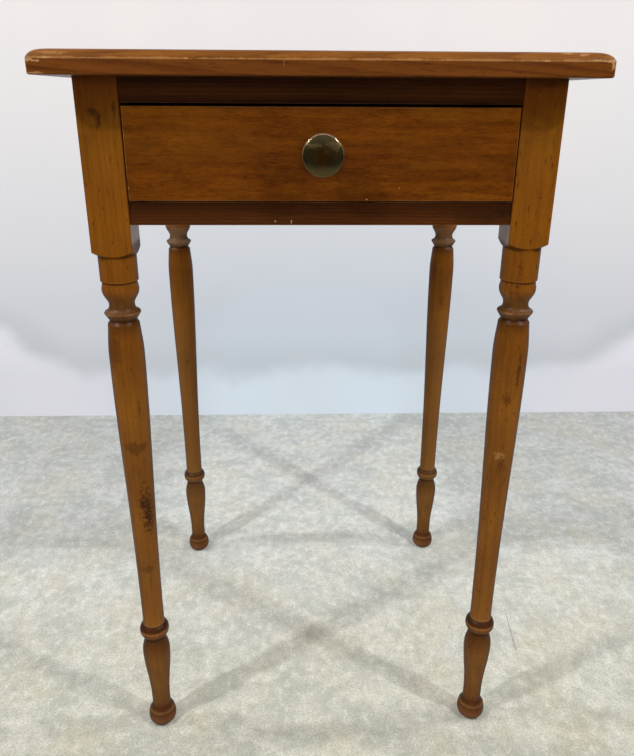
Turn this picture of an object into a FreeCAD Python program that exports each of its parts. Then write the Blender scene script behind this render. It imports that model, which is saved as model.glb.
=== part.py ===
import FreeCAD, Part
import math
import os

# Tavern table with one drawer and four turned legs, in millimetres.
# X runs to the right seen from the drawer side, Y to the back and Z up.
# The origin is on the floor, under the middle of the tabletop.

# ---- Driving sizes ---------------------------------------------------------

# The whole table
table_height = 724.0
base_width = 404.4            # over the outsides of the legs, left to right
base_depth = 381.0            # over the outsides of the legs, front to back

# Tabletop: three boards glued edge to edge, with a quarter round on the upper edge
top_thickness = 18.7
top_overhang = 26.8           # past the outsides of the legs
front_board_width = 152.0
middle_board_width = 140.0
top_corner_radius = 4.0
quarter_round_radius = 9.0
quarter_round_drop = 6.9      # from the top face down to the arris under the quarter round
lower_arris_radius = 1.5

# Legs: a square head above a turned part. They are turned by eye, so the heads differ in
# length, measured from the underside of the top to the corners of the square.
leg_square = 36.0
leg_arris_radius = 1.2
head_length_front_left = 142.7
head_length_front_right = 135.8
head_length_back = 139.2
shoulder_height = 5.0         # turned slope from the collar out to the corners

# Turned part of the leg, from the square down
collar_drop = 171.2           # from the underside of the top to the lower edge of the collar
collar_radius = 17.2
collar_groove_depth = 2.4
collar_groove_height = 1.4
urn_radius = 16.9
urn_height = 21.6
urn_lip_radius = 15.8
urn_belly_drop = 8.0          # from the collar groove down to the widest part of the urn
neck_radius = 11.7
ring_radius = 16.8            # the sharp ring under the urn
ring_height = 14.8
ring_edge_drop = 7.6          # from the neck down to the edge of the ring
ring_edge_height = 2.6
ring_edge_round = 0.65        # how far the rounded edge stands out
ring_hollow_share = 0.25      # how far out the flare above the ring is at half its height
ring_groove_radius = 12.4

# Long tapered shaft of the leg
shaft_top_radius = 14.6
shaft_top_curve = 3.2         # height of the rounding into the ring's groove
shaft_swell_radius = 16.7
shaft_swell_drop = 34.0       # from the ring's groove down to the thickest part
shaft_middle_radius = 13.3
shaft_middle_drop = 205.0
shaft_foot_radius = 11.6

# Bead, vase and bun foot at the bottom of the leg
bead_radius = 16.0
bead_height = 16.6
bead_root_radius = 12.0
bead_groove_radius = 11.4
bead_groove_height = 2.6
vase_radius = 15.1
vase_height = 99.0
vase_belly_drop = 18.0        # from the bead's groove down to the widest part of the vase
ankle_radius = 10.3
ankle_height = 14.0           # straight length above the foot
foot_height = 25.0
foot_radius = 15.6
foot_belly_height = 11.5
foot_arris_radius = 14.6
foot_arris_height = 17.5
foot_flat_radius = 10.5
foot_bulge_out = 1.2          # the rounded underside stands this far outside a straight slope
foot_bulge_down = 2.2         # and this far below it

# Aprons and front rails, all set back from the faces of the legs
rail_setback = 2.0
apron_thickness = 19.0
upper_rail_height = 20.0
lower_rail_height = 20.0
drawer_opening_height = 79.3

# Joints between the rails, the aprons and the legs
tenon_thickness = 8.0
tenon_end_clearance = 0.5     # between the ends of tenons that meet inside a leg
tenon_lower_shoulder = 10.0
tenon_upper_shoulder = 14.0
rail_tenon_thickness = 8.0
rail_tenon_inset = 5.0        # from the faces of the lower rail to its pair of tenons
rail_tenon_shoulder = 3.0
rail_dovetail_neck = 14.0
rail_dovetail_flare = 4.0     # how much wider the dovetail is on each side at its end
rail_dovetail_shoulder = 4.0

# Runners under the drawer, kickers above it and guides beside it
bearing_width = 14.0          # how far the runners and kickers reach under the drawer
runner_thickness = 18.0
guide_height = 20.0
tongue_length = 8.0
tongue_thickness = 6.0

# Drawer
drawer_side_gap = 1.0
drawer_top_gap = 2.4
drawer_lift = 0.3             # running clearance over the runners
drawer_front_lift = 0.9       # clearance of the drawer front over the lower rail
drawer_back_gap = 8.0
drawer_front_thickness = 19.0
drawer_front_arris = 1.0
drawer_side_thickness = 11.0
drawer_back_thickness = 11.0
drawer_back_drop = 4.0        # top of the back below the top of the sides
dovetail_lap = 5.0            # wood left in front of the dovetails
dovetail_pin = 6.0            # narrow width of the pins
dovetail_slope = 0.14
front_dovetails = 3
back_dovetails = 2
drawer_bottom_thickness = 6.0
drawer_groove_height = 8.0    # from the lower edge of the sides up to the groove
drawer_groove_depth = 5.0
drawer_bottom_play = 0.4

# Drawer stops on the lower rail
stop_spacing = 180.0
stop_width = 32.0
stop_thickness = 5.0
stop_gap = 0.3

# Brass knob, its screw and its washer
knob_radius = 17.5
knob_projection = 25.0
knob_rise = 1.0               # knob centre above the middle of the drawer front
knob_dome_height = 5.5
knob_rim_height = 4.0
knob_rim_round = 1.0          # how far the rounded rim stands out
knob_neck_radius = 6.0
knob_foot_radius = 9.0
knob_foot_height = 2.5
knob_flare_height = 7.0
knob_hollow_rise = 1.0        # the hollow under the dome rises this far above a straight slope
knob_screw_radius = 2.1
knob_screw_bite = 9.0
knob_screw_head_radius = 4.2
knob_screw_head_height = 2.8
knob_washer_radius = 6.0
knob_washer_thickness = 1.0
thread_clearance = 0.1        # around every screw, nail and washer

# Wood screws that hold the top down, and their slots
screw_radius = 2.1
screw_head_radius = 4.2
screw_bite = 11.0
screw_point = 5.0
screw_end_inset = 30.0        # from the ends of the kickers to their screws
rail_screw_spacing = 200.0
slot_width = 1.0
slot_depth = 1.0

# Cut nails in the runners, the kickers and the drawer bottom
nail_radius = 1.3
nail_head_radius = 2.6
nail_head_height = 1.0
nail_bite = 12.0
nail_point = 4.0
nails_in_strip = 3
nails_in_bottom = 3
bottom_nail_spacing = 105.0
bottom_nail_bite = 20.0

# ---- Places worked out from the sizes --------------------------------------

half_width = base_width / 2
half_depth = base_depth / 2
leg_x = half_width - leg_square / 2
leg_y = half_depth - leg_square / 2
legs_inner_x = half_width - leg_square
legs_inner_y = half_depth - leg_square

top_half_x = half_width + top_overhang
top_half_y = half_depth + top_overhang
under_top = table_height - top_thickness
opening_top = under_top - upper_rail_height
opening_bottom = opening_top - drawer_opening_height
apron_bottom = opening_bottom - lower_rail_height

apron_outer_x = half_width - rail_setback
apron_inner_x = apron_outer_x - apron_thickness
apron_outer_y = half_depth - rail_setback
apron_inner_y = apron_outer_y - apron_thickness
apron_middle_x = (apron_outer_x + apron_inner_x) / 2
apron_middle_y = (apron_outer_y + apron_inner_y) / 2
tenon_length = apron_middle_x - tenon_thickness / 2 - tenon_end_clearance - legs_inner_x

strip_inner_x = legs_inner_x - bearing_width
strip_middle_x = (strip_inner_x + apron_inner_x) / 2

drawer_half_width = legs_inner_x - drawer_side_gap
drawer_inner_x = drawer_half_width - drawer_side_thickness
drawer_front_y = -half_depth
drawer_front_back_y = drawer_front_y + drawer_front_thickness
drawer_end_y = apron_inner_y - drawer_back_gap
drawer_back_y = drawer_end_y - drawer_back_thickness
drawer_low = opening_bottom + drawer_lift
drawer_top = opening_top - drawer_top_gap
drawer_front_low = opening_bottom + drawer_front_lift
bottom_low = drawer_low + drawer_groove_height
bottom_high = bottom_low + drawer_bottom_thickness
back_high = drawer_top - drawer_back_drop
knob_z = (drawer_front_low + drawer_top) / 2 + knob_rise

left_side = -1
right_side = 1
sides = (("left", left_side), ("right", right_side))

# ---- Small helpers ---------------------------------------------------------

origin = FreeCAD.Vector(0, 0, 0)
x_axis = FreeCAD.Vector(1, 0, 0)
y_axis = FreeCAD.Vector(0, 1, 0)
z_axis = FreeCAD.Vector(0, 0, 1)
full_turn = 360
quarter_turn = 90
same_place = 0.001


def block(x_ends, y_ends, z_ends):
    """A box between two limits on each axis, given in either order."""
    low = FreeCAD.Vector(min(x_ends), min(y_ends), min(z_ends))
    high = FreeCAD.Vector(max(x_ends), max(y_ends), max(z_ends))
    size = high - low
    return Part.makeBox(size.x, size.y, size.z, low)


def fused(first, *others):
    """One clean solid from pieces that touch or overlap."""
    return first.fuse(list(others)).removeSplitter()


def prism(corners, direction):
    """A flat outline, given by its corners, drawn out along a direction."""
    outline = Part.makePolygon(list(corners) + [corners[0]])
    return Part.Face(outline).extrude(direction)


def edges_on_plane(shape, axis, place):
    """The straight and curved edges that lie wholly at one place along an axis."""
    def lies_there(edge):
        box = edge.BoundBox
        low = getattr(box, axis + "Min")
        high = getattr(box, axis + "Max")
        return abs(low - place) < same_place and abs(high - place) < same_place
    return [edge for edge in shape.Edges if lies_there(edge)]


def upright_edges(shape):
    """The edges that run straight up and down."""
    return [edge for edge in shape.Edges
            if edge.BoundBox.XLength < same_place and edge.BoundBox.YLength < same_place]


def middles(low, high, count):
    """The middles of a number of equal shares of a length."""
    share = (high - low) / count
    return [low + share * number + share / 2 for number in range(count)]


def mirrored(shape):
    """The same piece on the other side of the table."""
    return shape.mirror(origin, x_axis)


def on_side(shape, side):
    """A piece made for the left side, kept there or mirrored to the right."""
    return shape if side == left_side else mirrored(shape)


class Outline:
    """A half outline for turning: radius across, height up, drawn edge by edge."""

    def __init__(self, radius, height):
        self.here = FreeCAD.Vector(radius, 0, height)
        self.edges = []

    def line(self, radius, height):
        end = FreeCAD.Vector(radius, 0, height)
        self.edges.append(Part.LineSegment(self.here, end).toShape())
        self.here = end

    def arc(self, middle_radius, middle_height, radius, height):
        middle = FreeCAD.Vector(middle_radius, 0, middle_height)
        end = FreeCAD.Vector(radius, 0, height)
        self.edges.append(Part.Arc(self.here, middle, end).toShape())
        self.here = end

    def dome(self, height):
        """A round cap from here to the axis, centred on the axis."""
        radius = self.here.x
        rise = height - self.here.z
        sphere = (radius ** 2 + rise ** 2) / (2 * rise)
        half_angle = math.asin(radius / sphere) / 2
        drop = sphere * (1 - math.cos(half_angle))
        self.arc(sphere * math.sin(half_angle), height - drop, 0, height)

    def curve(self, points, start_upright=False, end_upright=False):
        places = [self.here] + [FreeCAD.Vector(radius, 0, height) for radius, height in points]
        spline = Part.BSplineCurve()
        start = z_axis if start_upright else places[1] - places[0]
        end = z_axis if end_upright else places[-1] - places[-2]
        spline.interpolate(Points=places, InitialTangent=start, FinalTangent=end)
        self.edges.append(spline.toShape())
        self.here = places[-1]

    def turned(self):
        return Part.Face(Part.Wire(self.edges)).revolve(origin, z_axis, full_turn)


# ---- Tabletop --------------------------------------------------------------

def tabletop():
    """The whole top as one solid, before it is divided into its boards."""
    run = math.sqrt(quarter_round_radius ** 2 - (quarter_round_radius - quarter_round_drop) ** 2)
    wide_x = top_half_x + quarter_round_radius - run
    wide_y = top_half_y + quarter_round_radius - run
    moulded = block((-wide_x, wide_x), (-wide_y, wide_y), (under_top, table_height))
    moulded = moulded.makeFillet(quarter_round_radius, edges_on_plane(moulded, "Z", table_height))
    trimmed = block((-top_half_x, top_half_x), (-top_half_y, top_half_y),
                    (under_top, table_height))
    trimmed = trimmed.makeFillet(top_corner_radius, upright_edges(trimmed))
    trimmed = trimmed.makeFillet(lower_arris_radius, edges_on_plane(trimmed, "Z", under_top))
    return moulded.common(trimmed)


def top_boards():
    """The three boards of the top, front to back."""
    whole = tabletop()
    front_joint = -top_half_y + front_board_width
    back_joint = front_joint + middle_board_width
    spans = {"front": (-top_half_y, front_joint),
             "middle": (front_joint, back_joint),
             "back": (back_joint, top_half_y)}
    boards = {}
    for name, span in spans.items():
        slab = block((-top_half_x, top_half_x), span, (under_top, table_height))
        boards["top_board_" + name] = whole.common(slab)
    return boards


# ---- Legs ------------------------------------------------------------------

def foot_and_vase(outline):
    """Bun foot, ankle and vase, from the floor up to the groove under the bead."""
    outline.line(foot_flat_radius, 0)
    outline.curve([((foot_flat_radius + foot_radius) / 2 + foot_bulge_out,
                    foot_belly_height / 2 - foot_bulge_down),
                   (foot_radius, foot_belly_height),
                   (foot_arris_radius, foot_arris_height)])
    outline.line(ankle_radius, foot_height)
    outline.line(ankle_radius, foot_height + ankle_height)
    vase_top = foot_height + vase_height
    belly = vase_top - vase_belly_drop
    rise = belly - foot_height - ankle_height
    outline.curve([((ankle_radius + vase_radius) / 2, foot_height + ankle_height + rise / 2),
                   (vase_radius, belly)], start_upright=True, end_upright=True)
    outline.curve([(bead_groove_radius, vase_top)], start_upright=True)
    return vase_top


def bead_and_shaft(outline, vase_top, shaft_top):
    """Bead with a groove under it, then the long shaft that swells towards its top."""
    bead_low = vase_top + bead_groove_height
    bead_high = bead_low + bead_height
    outline.line(bead_groove_radius, bead_low - bead_groove_height / 2)
    outline.line(bead_root_radius, bead_low)
    outline.arc(bead_radius, (bead_low + bead_high) / 2, bead_root_radius, bead_high)
    outline.line(shaft_foot_radius, bead_high + bead_groove_height)
    outline.curve([(shaft_middle_radius, shaft_top - shaft_middle_drop),
                   (shaft_swell_radius, shaft_top - shaft_swell_drop)],
                  start_upright=True, end_upright=True)
    outline.curve([(shaft_top_radius, shaft_top - shaft_top_curve)], start_upright=True)
    outline.curve([(ring_groove_radius, shaft_top)])


def ring_and_urn(outline, ring_low, collar_low):
    """Sharp ring with a hollow flare above it, and the urn that stands on it."""
    neck = ring_low + ring_height
    edge_middle = neck - ring_edge_drop
    edge_inner = ring_radius - ring_edge_round
    edge_low = edge_middle - ring_edge_height / 2
    edge_high = edge_middle + ring_edge_height / 2
    outline.line(edge_inner, edge_low)
    outline.arc(ring_radius, edge_middle, edge_inner, edge_high)
    flare_middle = neck_radius + (edge_inner - neck_radius) * ring_hollow_share
    outline.arc(flare_middle, (edge_high + neck) / 2 - ring_edge_round, neck_radius, neck)
    urn_high = collar_low - collar_groove_height
    belly = urn_high - urn_belly_drop
    outline.curve([((neck_radius + urn_radius) / 2, (neck + belly) / 2),
                   (urn_radius, belly),
                   (urn_lip_radius, urn_high)], start_upright=True)


def leg_turning(head_length):
    """The turned shape of a leg, wider than the square from its shoulder up."""
    collar_high = under_top - head_length - shoulder_height
    collar_low = under_top - collar_drop
    ring_low = collar_low - collar_groove_height - urn_height - ring_height
    outline = Outline(0, 0)
    vase_top = foot_and_vase(outline)
    bead_and_shaft(outline, vase_top, ring_low)
    ring_and_urn(outline, ring_low, collar_low)
    outline.line(collar_radius - collar_groove_depth, collar_low - collar_groove_height / 2)
    outline.line(collar_radius, collar_low)
    outline.line(collar_radius, collar_high)
    corner_radius = math.hypot(leg_square / 2, leg_square / 2)
    slope = shoulder_height / (corner_radius - collar_radius)
    outline.line(leg_square, collar_high + slope * (leg_square - collar_radius))
    outline.line(leg_square, under_top)
    outline.line(0, under_top)
    outline.line(0, 0)
    return outline.turned()


def leg_blank():
    """The square stick that a leg is turned from, with eased corners."""
    half = leg_square / 2
    blank = block((-half, half), (-half, half), (0, under_top))
    return blank.makeFillet(leg_arris_radius, upright_edges(blank))


def legs(joints):
    """The four legs, each cut by the tenons and dovetails that enter it."""
    places = (("front_left", -leg_x, -leg_y, head_length_front_left),
              ("front_right", leg_x, -leg_y, head_length_front_right),
              ("back_left", -leg_x, leg_y, head_length_back),
              ("back_right", leg_x, leg_y, head_length_back))
    made = {}
    for name, x, y, head_length in places:
        leg = leg_blank().common(leg_turning(head_length))
        leg.translate(FreeCAD.Vector(x, y, 0))
        made["leg_" + name] = leg.cut(joints)
    return made


# ---- Aprons and rails ------------------------------------------------------

def apron_side():
    """Left apron, with a tenon at each end."""
    board = block((-apron_outer_x, -apron_inner_x), (-legs_inner_y, legs_inner_y),
                  (apron_bottom, under_top))
    tenon_end = legs_inner_y + tenon_length
    half = tenon_thickness / 2
    tenons = block((-apron_middle_x - half, -apron_middle_x + half), (-tenon_end, tenon_end),
                   (apron_bottom + tenon_lower_shoulder, under_top - tenon_upper_shoulder))
    return fused(board, tenons)


def apron_back():
    """Back apron, with a tenon at each end."""
    board = block((-legs_inner_x, legs_inner_x), (apron_inner_y, apron_outer_y),
                  (apron_bottom, under_top))
    tenon_end = legs_inner_x + tenon_length
    half = tenon_thickness / 2
    tenons = block((-tenon_end, tenon_end), (apron_middle_y - half, apron_middle_y + half),
                   (apron_bottom + tenon_lower_shoulder, under_top - tenon_upper_shoulder))
    return fused(board, tenons)


def rail_lower():
    """Front rail under the drawer, with a pair of tenons at each end."""
    rail = block((-legs_inner_x, legs_inner_x), (-apron_outer_y, -legs_inner_y),
                 (apron_bottom, opening_bottom))
    tenon_end = legs_inner_x + tenon_length
    heights = (apron_bottom + rail_tenon_shoulder, opening_bottom - rail_tenon_shoulder)
    front_start = -apron_outer_y + rail_tenon_inset
    back_end = -legs_inner_y - rail_tenon_inset
    front_tenons = block((-tenon_end, tenon_end),
                         (front_start, front_start + rail_tenon_thickness), heights)
    back_tenons = block((-tenon_end, tenon_end),
                        (back_end - rail_tenon_thickness, back_end), heights)
    rail = fused(rail, front_tenons, back_tenons)
    return rail.cut(tongues(apron_bottom, opening_bottom))


def rail_upper():
    """Front rail over the drawer, dovetailed into the tops of the front legs."""
    rail = block((-legs_inner_x, legs_inner_x), (-apron_outer_y, -legs_inner_y),
                 (opening_top, under_top))
    middle_y = -(apron_outer_y + legs_inner_y) / 2
    neck = rail_dovetail_neck / 2
    end = neck + rail_dovetail_flare
    low = opening_top + rail_dovetail_shoulder
    corners = [FreeCAD.Vector(-legs_inner_x, middle_y - neck, low),
               FreeCAD.Vector(-legs_inner_x, middle_y + neck, low),
               FreeCAD.Vector(-legs_inner_x - tenon_length, middle_y + end, low),
               FreeCAD.Vector(-legs_inner_x - tenon_length, middle_y - end, low)]
    dovetail = prism(corners, z_axis * (under_top - low))
    rail = fused(rail, dovetail, mirrored(dovetail))
    rail = rail.cut(tongues(opening_top, under_top))
    return rail.cut(Part.makeCompound(rail_screws(thread_clearance)))


# ---- Runners, kickers and guides -------------------------------------------

def tongue(low, high):
    """Stub tongue that fits a left runner or kicker into the back of its front rail."""
    middle = (low + high) / 2
    return block((-legs_inner_x, -strip_inner_x), (-legs_inner_y - tongue_length, -legs_inner_y),
                 (middle - tongue_thickness / 2, middle + tongue_thickness / 2))


def tongues(low, high):
    """The tongues of both sides, as the rail is grooved for them."""
    return Part.makeCompound([tongue(low, high), mirrored(tongue(low, high))])


def strip(low, high, rail_low, rail_high):
    """Left strip from the front rail to the back apron, notched round the back leg."""
    bar = block((-apron_inner_x, -strip_inner_x), (-legs_inner_y, apron_inner_y), (low, high))
    leg_place = block((-half_width, -legs_inner_x), (legs_inner_y, half_depth), (low, high))
    return fused(bar.cut(leg_place), tongue(rail_low, rail_high))


def guide():
    """Left guide, which fills the step from the apron to the inner faces of the legs."""
    return block((-apron_inner_x, -legs_inner_x), (-legs_inner_y, legs_inner_y),
                 (opening_bottom, opening_bottom + guide_height))


# ---- Fasteners -------------------------------------------------------------

def wood_screw(length, clearance):
    """Slotted countersunk screw, head down at the origin and point up."""
    shank = screw_radius + clearance
    head = screw_head_radius + clearance
    outline = Outline(0, 0)
    outline.line(head, 0)
    outline.line(shank, head - shank)
    outline.line(shank, length - screw_point)
    outline.line(0, length + clearance)
    outline.line(0, 0)
    screw = outline.turned()
    if clearance:
        return screw
    slot = block((-head, head), (-slot_width / 2, slot_width / 2), (0, slot_depth))
    return screw.cut(slot)


def nail(length, clearance):
    """Flat-headed nail, head under the origin and point up."""
    shank = nail_radius + clearance
    outline = Outline(0, -nail_head_height)
    outline.line(nail_head_radius, -nail_head_height)
    outline.line(nail_head_radius, 0)
    outline.line(shank, 0)
    outline.line(shank, length - nail_point)
    outline.line(0, length + clearance)
    outline.line(0, -nail_head_height)
    return outline.turned()


def kicker_screws(clearance):
    """Screws up through the left kicker into the top."""
    screws = []
    for y in (-legs_inner_y + screw_end_inset, legs_inner_y - screw_end_inset):
        screw = wood_screw(upper_rail_height + screw_bite, clearance)
        screw.translate(FreeCAD.Vector(-strip_middle_x, y, opening_top))
        screws.append(screw)
    return screws


def rail_screws(clearance):
    """Screws up through the upper rail into the top."""
    screws = []
    middle_y = -(apron_outer_y + legs_inner_y) / 2
    for side in (left_side, right_side):
        screw = wood_screw(upper_rail_height + screw_bite, clearance)
        place = FreeCAD.Vector(side * rail_screw_spacing / 2, middle_y, opening_top)
        screw.translate(place)
        screws.append(screw)
    return screws


def all_top_screws(clearance):
    """Every screw that holds the top down."""
    left = kicker_screws(clearance)
    return left + [mirrored(screw) for screw in left] + rail_screws(clearance)


def strip_nails(height, clearance):
    """Nails from the inner edge of a left strip through it into the apron."""
    length = apron_inner_x - strip_inner_x + nail_bite
    nails = []
    for y in middles(-legs_inner_y, legs_inner_y, nails_in_strip):
        one = nail(length, clearance)
        one.rotate(origin, y_axis, -quarter_turn)
        one.translate(FreeCAD.Vector(-strip_inner_x, y, height))
        nails.append(one)
    return nails


def bottom_nails(clearance):
    """Nails up through the drawer bottom into the lower edge of the drawer back."""
    nails = []
    reach = bottom_nail_spacing * nails_in_bottom / 2
    middle_y = (drawer_back_y + drawer_end_y) / 2
    for x in middles(-reach, reach, nails_in_bottom):
        one = nail(drawer_bottom_thickness + bottom_nail_bite, clearance)
        one.translate(FreeCAD.Vector(x, middle_y, bottom_low))
        nails.append(one)
    return nails


# ---- Drawer ----------------------------------------------------------------

def dovetails(y_root, y_tip, low, high, count):
    """Tails of the left side: narrow at the root and wide at the tip."""
    tip_half = ((high - low) / count - dovetail_pin) / 2
    root_half = tip_half - dovetail_slope * abs(y_tip - y_root)
    tails = []
    for middle in middles(low, high, count):
        corners = [FreeCAD.Vector(-drawer_half_width, y_root, middle - root_half),
                   FreeCAD.Vector(-drawer_half_width, y_root, middle + root_half),
                   FreeCAD.Vector(-drawer_half_width, y_tip, middle + tip_half),
                   FreeCAD.Vector(-drawer_half_width, y_tip, middle - tip_half)]
        tails.append(prism(corners, x_axis * drawer_side_thickness))
    return tails


def front_tails():
    """Tails of the left side that enter the back of the drawer front."""
    tip = drawer_front_y + dovetail_lap
    return dovetails(drawer_front_back_y, tip, drawer_front_low, drawer_top, front_dovetails)


def back_tails():
    """Tails of the left side that pass through the ends of the drawer back."""
    return dovetails(drawer_back_y, drawer_end_y, bottom_high, back_high, back_dovetails)


def bottom_groove():
    """The space for the drawer bottom, with a little play round the panel."""
    reach = drawer_inner_x + drawer_groove_depth
    return block((-reach, reach), (drawer_front_back_y - drawer_groove_depth, drawer_end_y),
                 (bottom_low, bottom_high))


def drawer_front():
    """Drawer front with eased edges, sockets for the tails and a hole for the knob's screw."""
    board = block((-drawer_half_width, drawer_half_width), (drawer_front_y, drawer_front_back_y),
                  (drawer_front_low, drawer_top))
    board = board.makeFillet(drawer_front_arris, edges_on_plane(board, "Y", drawer_front_y))
    tails = front_tails()
    sockets = Part.makeCompound(tails + [mirrored(tail) for tail in tails])
    hole = Part.makeCylinder(knob_screw_radius + thread_clearance, drawer_front_thickness,
                             FreeCAD.Vector(0, drawer_front_y, knob_z), y_axis)
    return board.cut(sockets).cut(bottom_groove()).cut(hole)


def drawer_back():
    """Drawer back, which stands on the bottom panel."""
    board = block((-drawer_half_width, drawer_half_width), (drawer_back_y, drawer_end_y),
                  (bottom_high, back_high))
    tails = back_tails()
    sockets = Part.makeCompound(tails + [mirrored(tail) for tail in tails])
    return board.cut(sockets).cut(Part.makeCompound(bottom_nails(thread_clearance)))


def drawer_side():
    """Left drawer side, dovetailed to the front and the back and grooved for the bottom."""
    board = block((-drawer_half_width, -drawer_inner_x), (drawer_front_back_y, drawer_end_y),
                  (drawer_low, drawer_top))
    above_back = block((-drawer_half_width, -drawer_inner_x), (drawer_back_y, drawer_end_y),
                       (back_high, drawer_top))
    board = fused(board, *front_tails())
    return board.cut(drawer_back()).cut(above_back).cut(bottom_groove())


def drawer_bottom():
    """Bottom panel, in the grooves of the front and the sides and nailed under the back."""
    reach = drawer_inner_x + drawer_groove_depth - drawer_bottom_play
    front = drawer_front_back_y - drawer_groove_depth + drawer_bottom_play
    panel = block((-reach, reach), (front, drawer_end_y), (bottom_low, bottom_high))
    return panel.cut(Part.makeCompound(bottom_nails(thread_clearance)))


def drawer_stops():
    """Two blocks on the lower rail that meet the back of the drawer front."""
    stops = []
    for side in (left_side, right_side):
        middle = side * stop_spacing / 2
        stops.append(block((middle - stop_width / 2, middle + stop_width / 2),
                           (drawer_front_back_y + stop_gap, -legs_inner_y),
                           (opening_bottom, opening_bottom + stop_thickness)))
    return Part.makeCompound(stops)


# ---- Knob ------------------------------------------------------------------

def stood_on_front(shape, y):
    """A turned piece laid with its axis out of the drawer front, at the knob's height."""
    shape.rotate(origin, x_axis, quarter_turn)
    shape.translate(FreeCAD.Vector(0, y, knob_z))
    return shape


def brass_knob():
    """Cast knob: a small foot, a waisted neck and a wide shallow dome, tapped from behind."""
    rim_high = knob_projection - knob_dome_height
    rim_low = rim_high - knob_rim_height
    flare_low = rim_low - knob_flare_height
    hole = knob_screw_radius + thread_clearance
    hole_depth = knob_screw_bite + knob_foot_height
    outline = Outline(hole, 0)
    outline.line(knob_foot_radius, 0)
    outline.line(knob_foot_radius, knob_foot_height)
    outline.line(knob_neck_radius, knob_foot_height)
    outline.line(knob_neck_radius, flare_low)
    rim_inner = knob_radius - knob_rim_round
    outline.curve([((knob_neck_radius + rim_inner) / 2,
                    (flare_low + rim_low) / 2 + knob_hollow_rise),
                   (rim_inner, rim_low)], start_upright=True)
    outline.arc(knob_radius, (rim_low + rim_high) / 2, rim_inner, rim_high)
    outline.dome(knob_projection)
    outline.line(0, hole_depth)
    outline.line(hole, hole_depth)
    outline.line(hole, 0)
    return stood_on_front(outline.turned(), drawer_front_y)


def knob_washer():
    """Flat washer under the head of the knob's screw, inside the drawer."""
    disc = Part.makeCylinder(knob_washer_radius, knob_washer_thickness)
    hole = Part.makeCylinder(knob_screw_radius + thread_clearance, knob_washer_thickness)
    return stood_on_front(disc.cut(hole), drawer_front_back_y + knob_washer_thickness)


def knob_screw():
    """Machine screw through the drawer front into the knob, with a slotted cheese head."""
    length = knob_washer_thickness + drawer_front_thickness + knob_screw_bite
    head = Part.makeCylinder(knob_screw_head_radius, knob_screw_head_height,
                             FreeCAD.Vector(0, 0, -knob_screw_head_height))
    shank = Part.makeCylinder(knob_screw_radius, length)
    slot_half = slot_width / 2
    slot = block((-knob_screw_head_radius, knob_screw_head_radius), (-slot_half, slot_half),
                 (-knob_screw_head_height, slot_depth - knob_screw_head_height))
    screw = fused(head, shank).cut(slot)
    return stood_on_front(screw, drawer_front_back_y + knob_washer_thickness)


# ---- The table put together ------------------------------------------------

def carcase():
    """Top, legs, aprons, rails and everything that stays with them."""
    pieces = {}
    screw_holes = Part.makeCompound(all_top_screws(thread_clearance))
    for name, board in top_boards().items():
        pieces[name] = board.cut(screw_holes)
    runner_low = opening_bottom - runner_thickness
    runner_middle = opening_bottom - runner_thickness / 2
    kicker_middle = (opening_top + under_top) / 2
    runner_holes = Part.makeCompound(strip_nails(runner_middle, thread_clearance))
    kicker_holes = Part.makeCompound(strip_nails(kicker_middle, thread_clearance))
    kicker_screw_holes = Part.makeCompound(kicker_screws(thread_clearance))
    apron = apron_side().cut(runner_holes).cut(kicker_holes)
    runner = strip(runner_low, opening_bottom, apron_bottom, opening_bottom).cut(runner_holes)
    kicker = strip(opening_top, under_top, opening_top, under_top)
    kicker = kicker.cut(kicker_holes).cut(kicker_screw_holes)
    for name, side in sides:
        pieces["apron_" + name] = on_side(apron, side)
        pieces["runner_" + name] = on_side(runner, side)
        pieces["kicker_" + name] = on_side(kicker, side)
        pieces["guide_" + name] = on_side(guide(), side)
    pieces["apron_back"] = apron_back()
    pieces["rail_lower"] = rail_lower()
    pieces["rail_upper"] = rail_upper()
    entering = [apron_side(), mirrored(apron_side()), apron_back(), rail_lower(), rail_upper()]
    pieces.update(legs(Part.makeCompound(entering)))
    pieces["drawer_stops"] = drawer_stops()
    pieces["top_screws"] = Part.makeCompound(all_top_screws(0))
    for name, middle in (("runner_nails", runner_middle), ("kicker_nails", kicker_middle)):
        left = strip_nails(middle, 0)
        pieces[name] = Part.makeCompound(left + [mirrored(one) for one in left])
    return pieces


def drawer():
    """The drawer with its knob."""
    pieces = {"drawer_front": drawer_front(),
              "drawer_back": drawer_back(),
              "drawer_bottom": drawer_bottom(),
              "drawer_bottom_nails": Part.makeCompound(bottom_nails(0)),
              "brass_knob": brass_knob(),
              "knob_washer": knob_washer(),
              "knob_screw": knob_screw()}
    for name, side in sides:
        pieces["drawer_side_" + name] = on_side(drawer_side(), side)
    return pieces


os.makedirs("parts", exist_ok=True)
table = carcase()
table.update(drawer())
for node, piece in table.items():
    piece.exportStep("parts/" + node + ".step")
    solids = len(piece.Solids)
    print(f"{node:22s} solids {solids}  volume {piece.Volume:12.1f}  valid {piece.isValid()}")
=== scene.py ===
import math

import bmesh
import bpy
from mathutils import Matrix, Vector, geometry


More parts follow.
